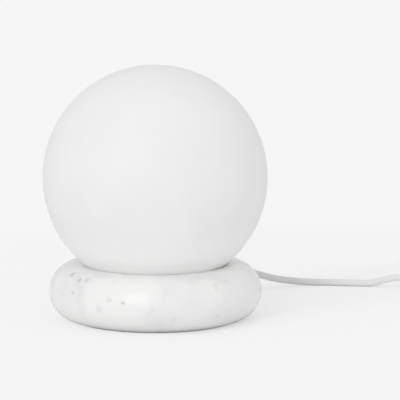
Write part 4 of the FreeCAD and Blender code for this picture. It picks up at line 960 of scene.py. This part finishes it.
def make_switch():
    """The switch in the cord: eased shells, ribbed rocker and ridged collars."""
    parts = []
    for node, name, ease, body in (
            ("switch_base", "switch_shell_below", 0.5 * MM, "root"),
            ("switch_cover", "switch_shell_above", 0.5 * MM, "root"),
            ("switch_rocker", "switch_key", 0.35 * MM, "rocker")):
        parts.append(mount(softened(node, name, ease), body, node))
    low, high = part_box("switch_cover")
    pivot = Vector(((low.x + high.x) / 2, (low.y + high.y) / 2, PIVOT_HEIGHT))
    foot = (-ROCKER_RIB_START, 0, ROCKER_DIP + ROCKER_SLOPE * ROCKER_RIB_START)
    ribs = rib("switch_key_ribs", foot, (0, 1, 0), (0, 0, 1), ROCKER_RIB, "white_plastic")
    repeated(ribs, 4, step=(-ROCKER_RIB_PITCH, 0, ROCKER_RIB_PITCH * ROCKER_SLOPE))
    ribs.data.transform(Matrix.Translation(pivot) @ Matrix.Rotation(ROCKER_TILT, 4, "Y"))
    parts.append(mount(ribs, "rocker"))
    for name, end, way in (("switch_collar_near", low.x, -1), ("switch_collar_far", high.x, 1)):
        profile = [(0, 0)] + ridged_taper(**COLLAR)
        collar = spun(name, profile, "white_plastic", (end, pivot.y, COLLAR_HEIGHT), (way, 0, 0))
        parts.append(mount(collar, "root", "switch_collars"))
    return parts


def rounded_section(centre, width, thickness, corner):
    """A rounded rectangle across the plug, standing in the XZ plane."""
    points = []
    for quarter, (right, up) in enumerate(((1, 1), (-1, 1), (-1, -1), (1, -1))):
        for step in range(7):
            angle = math.radians(90 * quarter + 15 * step)
            points.append(Vector(centre) + Vector((
                right * (width / 2 - corner) + corner * math.cos(angle), 0,
                up * (thickness / 2 - corner) + corner * math.sin(angle))) * MM)
    return points


def make_plug():
    """The flat plug: a moulded body with a ridged neck and ribbed flanks, and two half-sleeved pins."""
    low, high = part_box("plug_body")
    middle = Vector(((low.x + high.x) / 2, high.y, (low.z + high.z) / 2))
    body = skinned("plug_moulding", [
        rounded_section(middle - Vector((0, place * MM, 0)), width, thickness, corner)
        for place, width, thickness, corner in PLUG_SECTIONS], "white_plastic")
    parts = [mount(body, "root", "plug_body")]
    for name, side in (("plug_ribs_right", 1), ("plug_ribs_left", -1)):
        flank = middle + Vector((side * PLUG_RIB_PLACE[0], -PLUG_RIB_PLACE[1], 0))
        ribs = rib(name, flank, (0, 0, 1), (side, 0, 0), PLUG_RIB, "white_plastic")
        parts.append(mount(repeated(ribs, 5, step=(0, -PLUG_RIB_PITCH, 0)), "root"))
    foot = middle + Vector((PIN_SPACING / 2, -PLUG_LENGTH, 0))
    for name, profile, finish in (("plug_pins_plated", PIN_PROFILE, "plated_brass"),
                                  ("plug_pin_sleeves", SLEEVE_PROFILE, "white_plastic")):
        pin = spun(name, profile, finish, foot, (0, -1, 0))
        parts.append(mount(repeated(pin, 2, step=(-PIN_SPACING, 0, 0)), "root", "plug_pins"))
    return parts


def band(name, line, normals, widths):
    """A flat woven band along the line, as wide as the widths say; its UV map is in millimetres."""
    sections = []
    along = [0.0]
    edge = ((-1.0, 0.0), (-0.96, 1.0), (0.96, 1.0), (1.0, 0.0), (0.96, -1.0), (-0.96, -1.0))
    for number, (centre, normal, width) in enumerate(zip(line, normals, widths)):
        sections.append([centre + Vector((0, width / 2 * side, 0)) + normal * (STRAP_THICKNESS / 2 * out)
                         for side, out in edge])
        if number:
            along.append(along[-1] + (centre - line[number - 1]).length / MM)
    across = [side * STRAP_WIDTH / 2 / MM for side, _ in edge]
    return skinned(name, sections, "tie_cloth", along, across)


def make_strap():
    """The strap that holds the coil: a woven band hugging the turns, its tongue stitched down on top."""
    low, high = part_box("cord_tie")
    across = (low.y + high.y) / 2
    left, right = (STRAP_LEFT + STRAP_BEND, STRAP_RIGHT - STRAP_BEND)
    bottom, top = (STRAP_BOTTOM + STRAP_BEND, STRAP_TOP - STRAP_BEND)
    line = []
    normals = []
    for corner, (x, z) in enumerate(((right, top), (left, top), (left, bottom), (right, bottom))):
        for step in range(9):
            angle = math.radians(90 * corner + 11.25 * step)
            normal = Vector((math.cos(angle), 0, math.sin(angle)))
            line.append(Vector((x, across, z)) + normal * STRAP_BEND)
            normals.append(normal)
    line.append(line[0].copy())
    normals.append(normals[0])
    strap = band("coil_strap", line, normals, [STRAP_WIDTH] * len(line))
    parts = [mount(strap, "root", "cord_tie")]
    rise = STRAP_TOP + STRAP_THICKNESS
    upper = band("coil_strap_tongue", [Vector((x * MM, across, rise + drop * MM)) for x, drop, _ in TONGUE],
                 [Vector((0, 0, 1))] * len(TONGUE), [width * MM for _, _, width in TONGUE])
    parts.append(mount(upper, "root"))
    foot = (STITCH_PLACE[0], across + STITCH_PLACE[1], rise + STRAP_THICKNESS / 2)
    stitch = rib("coil_strap_stitches", foot, (0, 1, 0), (0, 0, 1), STITCH, "grip_plastic")
    repeated(stitch, 4, step=(0, STITCH_SPACING[1], 0))
    parts.append(mount(repeated(stitch, 2, step=(STITCH_SPACING[0], 0, 0)), "root"))
    return parts


def make_fittings():
    """The cord's boot at the ring and the flutes of the lampholder's cap."""
    flange = BOOT_PROFILE[-1][1]
    profile = BOOT_PROFILE + [(radius, flange + along) for radius, along in ridged_taper(**BOOT_TAPER)]
    profile += [(0, BOOT_STEM), (BOOT_PROFILE[0][0], BOOT_STEM)]
    start = outward(BOOT_END - BOOT_TAPER["length"] - flange)
    boot = mount(spun("cord_boot_moulding", profile, "white_plastic", start, CORD_WAY), "root", "cord_boot")
    _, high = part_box("holder_cap")
    foot = (high.x - FLUTE_SUNK, 0, high.z - FLUTE_DROP)
    flute = rib("holder_cap_flutes", foot, (0, 0, 1), (1, 0, 0), FLUTE, "holder_plastic")
    mount(repeated(flute, FLUTES, turn=2 * math.pi / FLUTES), "root")
    return boot


def make_floor():
    """Pale paper under the lamp. Close by it takes light and shadow, and further out it has the backdrop's
    colour."""
    rim = [(x, y, 0) for x, y in arc((0, 0), FLOOR_RADIUS, 0, 360, 3.75)[:-1]]
    mesh = bpy.data.meshes.new("paper_floor")
    mesh.from_pydata(rim, [], [tuple(range(len(rim)))])
    floor = in_scene("paper_floor", mesh)
    finish = Finish("studio paper", 1.0, Specular_IOR_Level=0.0)
    finish.coloured(finish.blend(finish.noise(0.4, 2), FLOOR_COLOUR, PAPER))
    rays = finish.add("LightPath").outputs
    mirrored = finish.sums("ADD", rays["Is Glossy Ray"], rays["Is Transmission Ray"], True)
    far = finish.span(finish.measured("DISTANCE", FLOOR_MIDDLE), *FADE)
    shade = finish.blend(rays["Is Camera Ray"], PAPER_MIRRORED, PAPER)
    glow = finish.add("Emission", {"Color": shade, "Strength": 1.0})
    down = finish.measured("DOT_PRODUCT", (SHADOW_WAY[0], SHADOW_WAY[1], 0))
    aside = finish.sums("ABSOLUTE", finish.measured("DOT_PRODUCT", (SHADOW_WAY[1], -SHADOW_WAY[0], 0)))
    veil = finish.sums("MAXIMUM", finish.span(aside, *SHADOW_EDGE, SHADOW_VEIL, LIT_VEIL),
                       finish.span(down, *SHADOW_START, LIT_VEIL, SHADOW_VEIL))
    veil = finish.sums("MAXIMUM", far, veil)
    share = finish.sums("ADD", finish.sums("MULTIPLY", rays["Is Camera Ray"], veil),
                        finish.sums("MULTIPLY", mirrored, far), True)
    mixed = finish.add("MixShader", {0: share, 1: finish.shader.outputs[0], 2: glow.outputs[0]})
    finish.feed(finish.tree.nodes["Material Output"].inputs["Surface"], mixed.outputs[0])
    mesh.materials.append(finish.material)


def make_world():
    """Soft light from all sides, a little stronger from the camera's; the camera sees the paper's colour
    instead, and reflections see it somewhat dimmed."""
    world = bpy.data.worlds.new("studio")
    world.use_nodes = True
    nodes = world.node_tree.nodes
    links = world.node_tree.links
    ambient = nodes["Background"]
    way = nodes.new("ShaderNodeSeparateXYZ")
    links.new(nodes.new("ShaderNodeTexCoord").outputs["Generated"], way.inputs[0])
    strength = nodes.new("ShaderNodeMapRange")
    for socket, value in (("From Min", -1), ("From Max", 1),
                          ("To Min", AMBIENT_FRONT), ("To Max", AMBIENT_BACK)):
        strength.inputs[socket].default_value = value
    links.new(way.outputs["Y"], strength.inputs["Value"])
    links.new(strength.outputs["Result"], ambient.inputs["Strength"])
    ambient.inputs["Color"].default_value = (1, 1, 1, 1)
    rays = nodes.new("ShaderNodeLightPath").outputs
    shown = ambient
    for colour, kinds in ((PAPER_MIRRORED, ("Is Glossy Ray", "Is Transmission Ray")),
                          (PAPER, ("Is Camera Ray",))):
        backdrop = nodes.new("ShaderNodeBackground")
        backdrop.inputs["Color"].default_value = colour
        for kind in kinds:
            mix = nodes.new("ShaderNodeMixShader")
            links.new(rays[kind], mix.inputs[0])
            links.new(shown.outputs[0], mix.inputs[1])
            links.new(backdrop.outputs[0], mix.inputs[2])
            shown = mix
    links.new(shown.outputs[0], nodes["World Output"].inputs["Surface"])
    bpy.context.scene.world = world


def softbox(name, azimuth, elevation, distance, width, height, power):
    """A rectangular lamp that looks at the globe; azimuth 0 is the camera's side and runs to its right."""
    light = bpy.data.lights.new(name, "AREA")
    light.shape = "RECTANGLE"
    light.size = width
    light.size_y = height
    light.energy = power
    lamp = in_scene(name, light)
    turn = math.radians(azimuth)
    rise = math.radians(elevation)
    way = Vector((math.sin(turn) * math.cos(rise), -math.cos(turn) * math.cos(rise), math.sin(rise)))
    lamp.location = Vector(LIGHT_AIM) + way * distance
    lamp.rotation_euler = way.to_track_quat("Z", "Y").to_euler()


def make_camera():
    camera = bpy.data.cameras.new("photo view")
    camera.lens = CAMERA_LENS
    camera.sensor_width = SENSOR
    camera.clip_start = 0.05
    camera.clip_end = 60
    holder = in_scene("photo view", camera)
    holder.location = CAMERA_PLACE
    holder.rotation_euler = (CAMERA_PITCH, 0, 0)
    bpy.context.scene.camera = holder


bpy.context.scene.view_settings.view_transform = "Standard"
dress_solids()
make_stone()
make_globe()
make_cords(make_fittings(), make_switch(), make_plug() + make_strap())
make_floor()
make_world()
softbox("key softbox", **KEY_SOFTBOX)
make_camera()
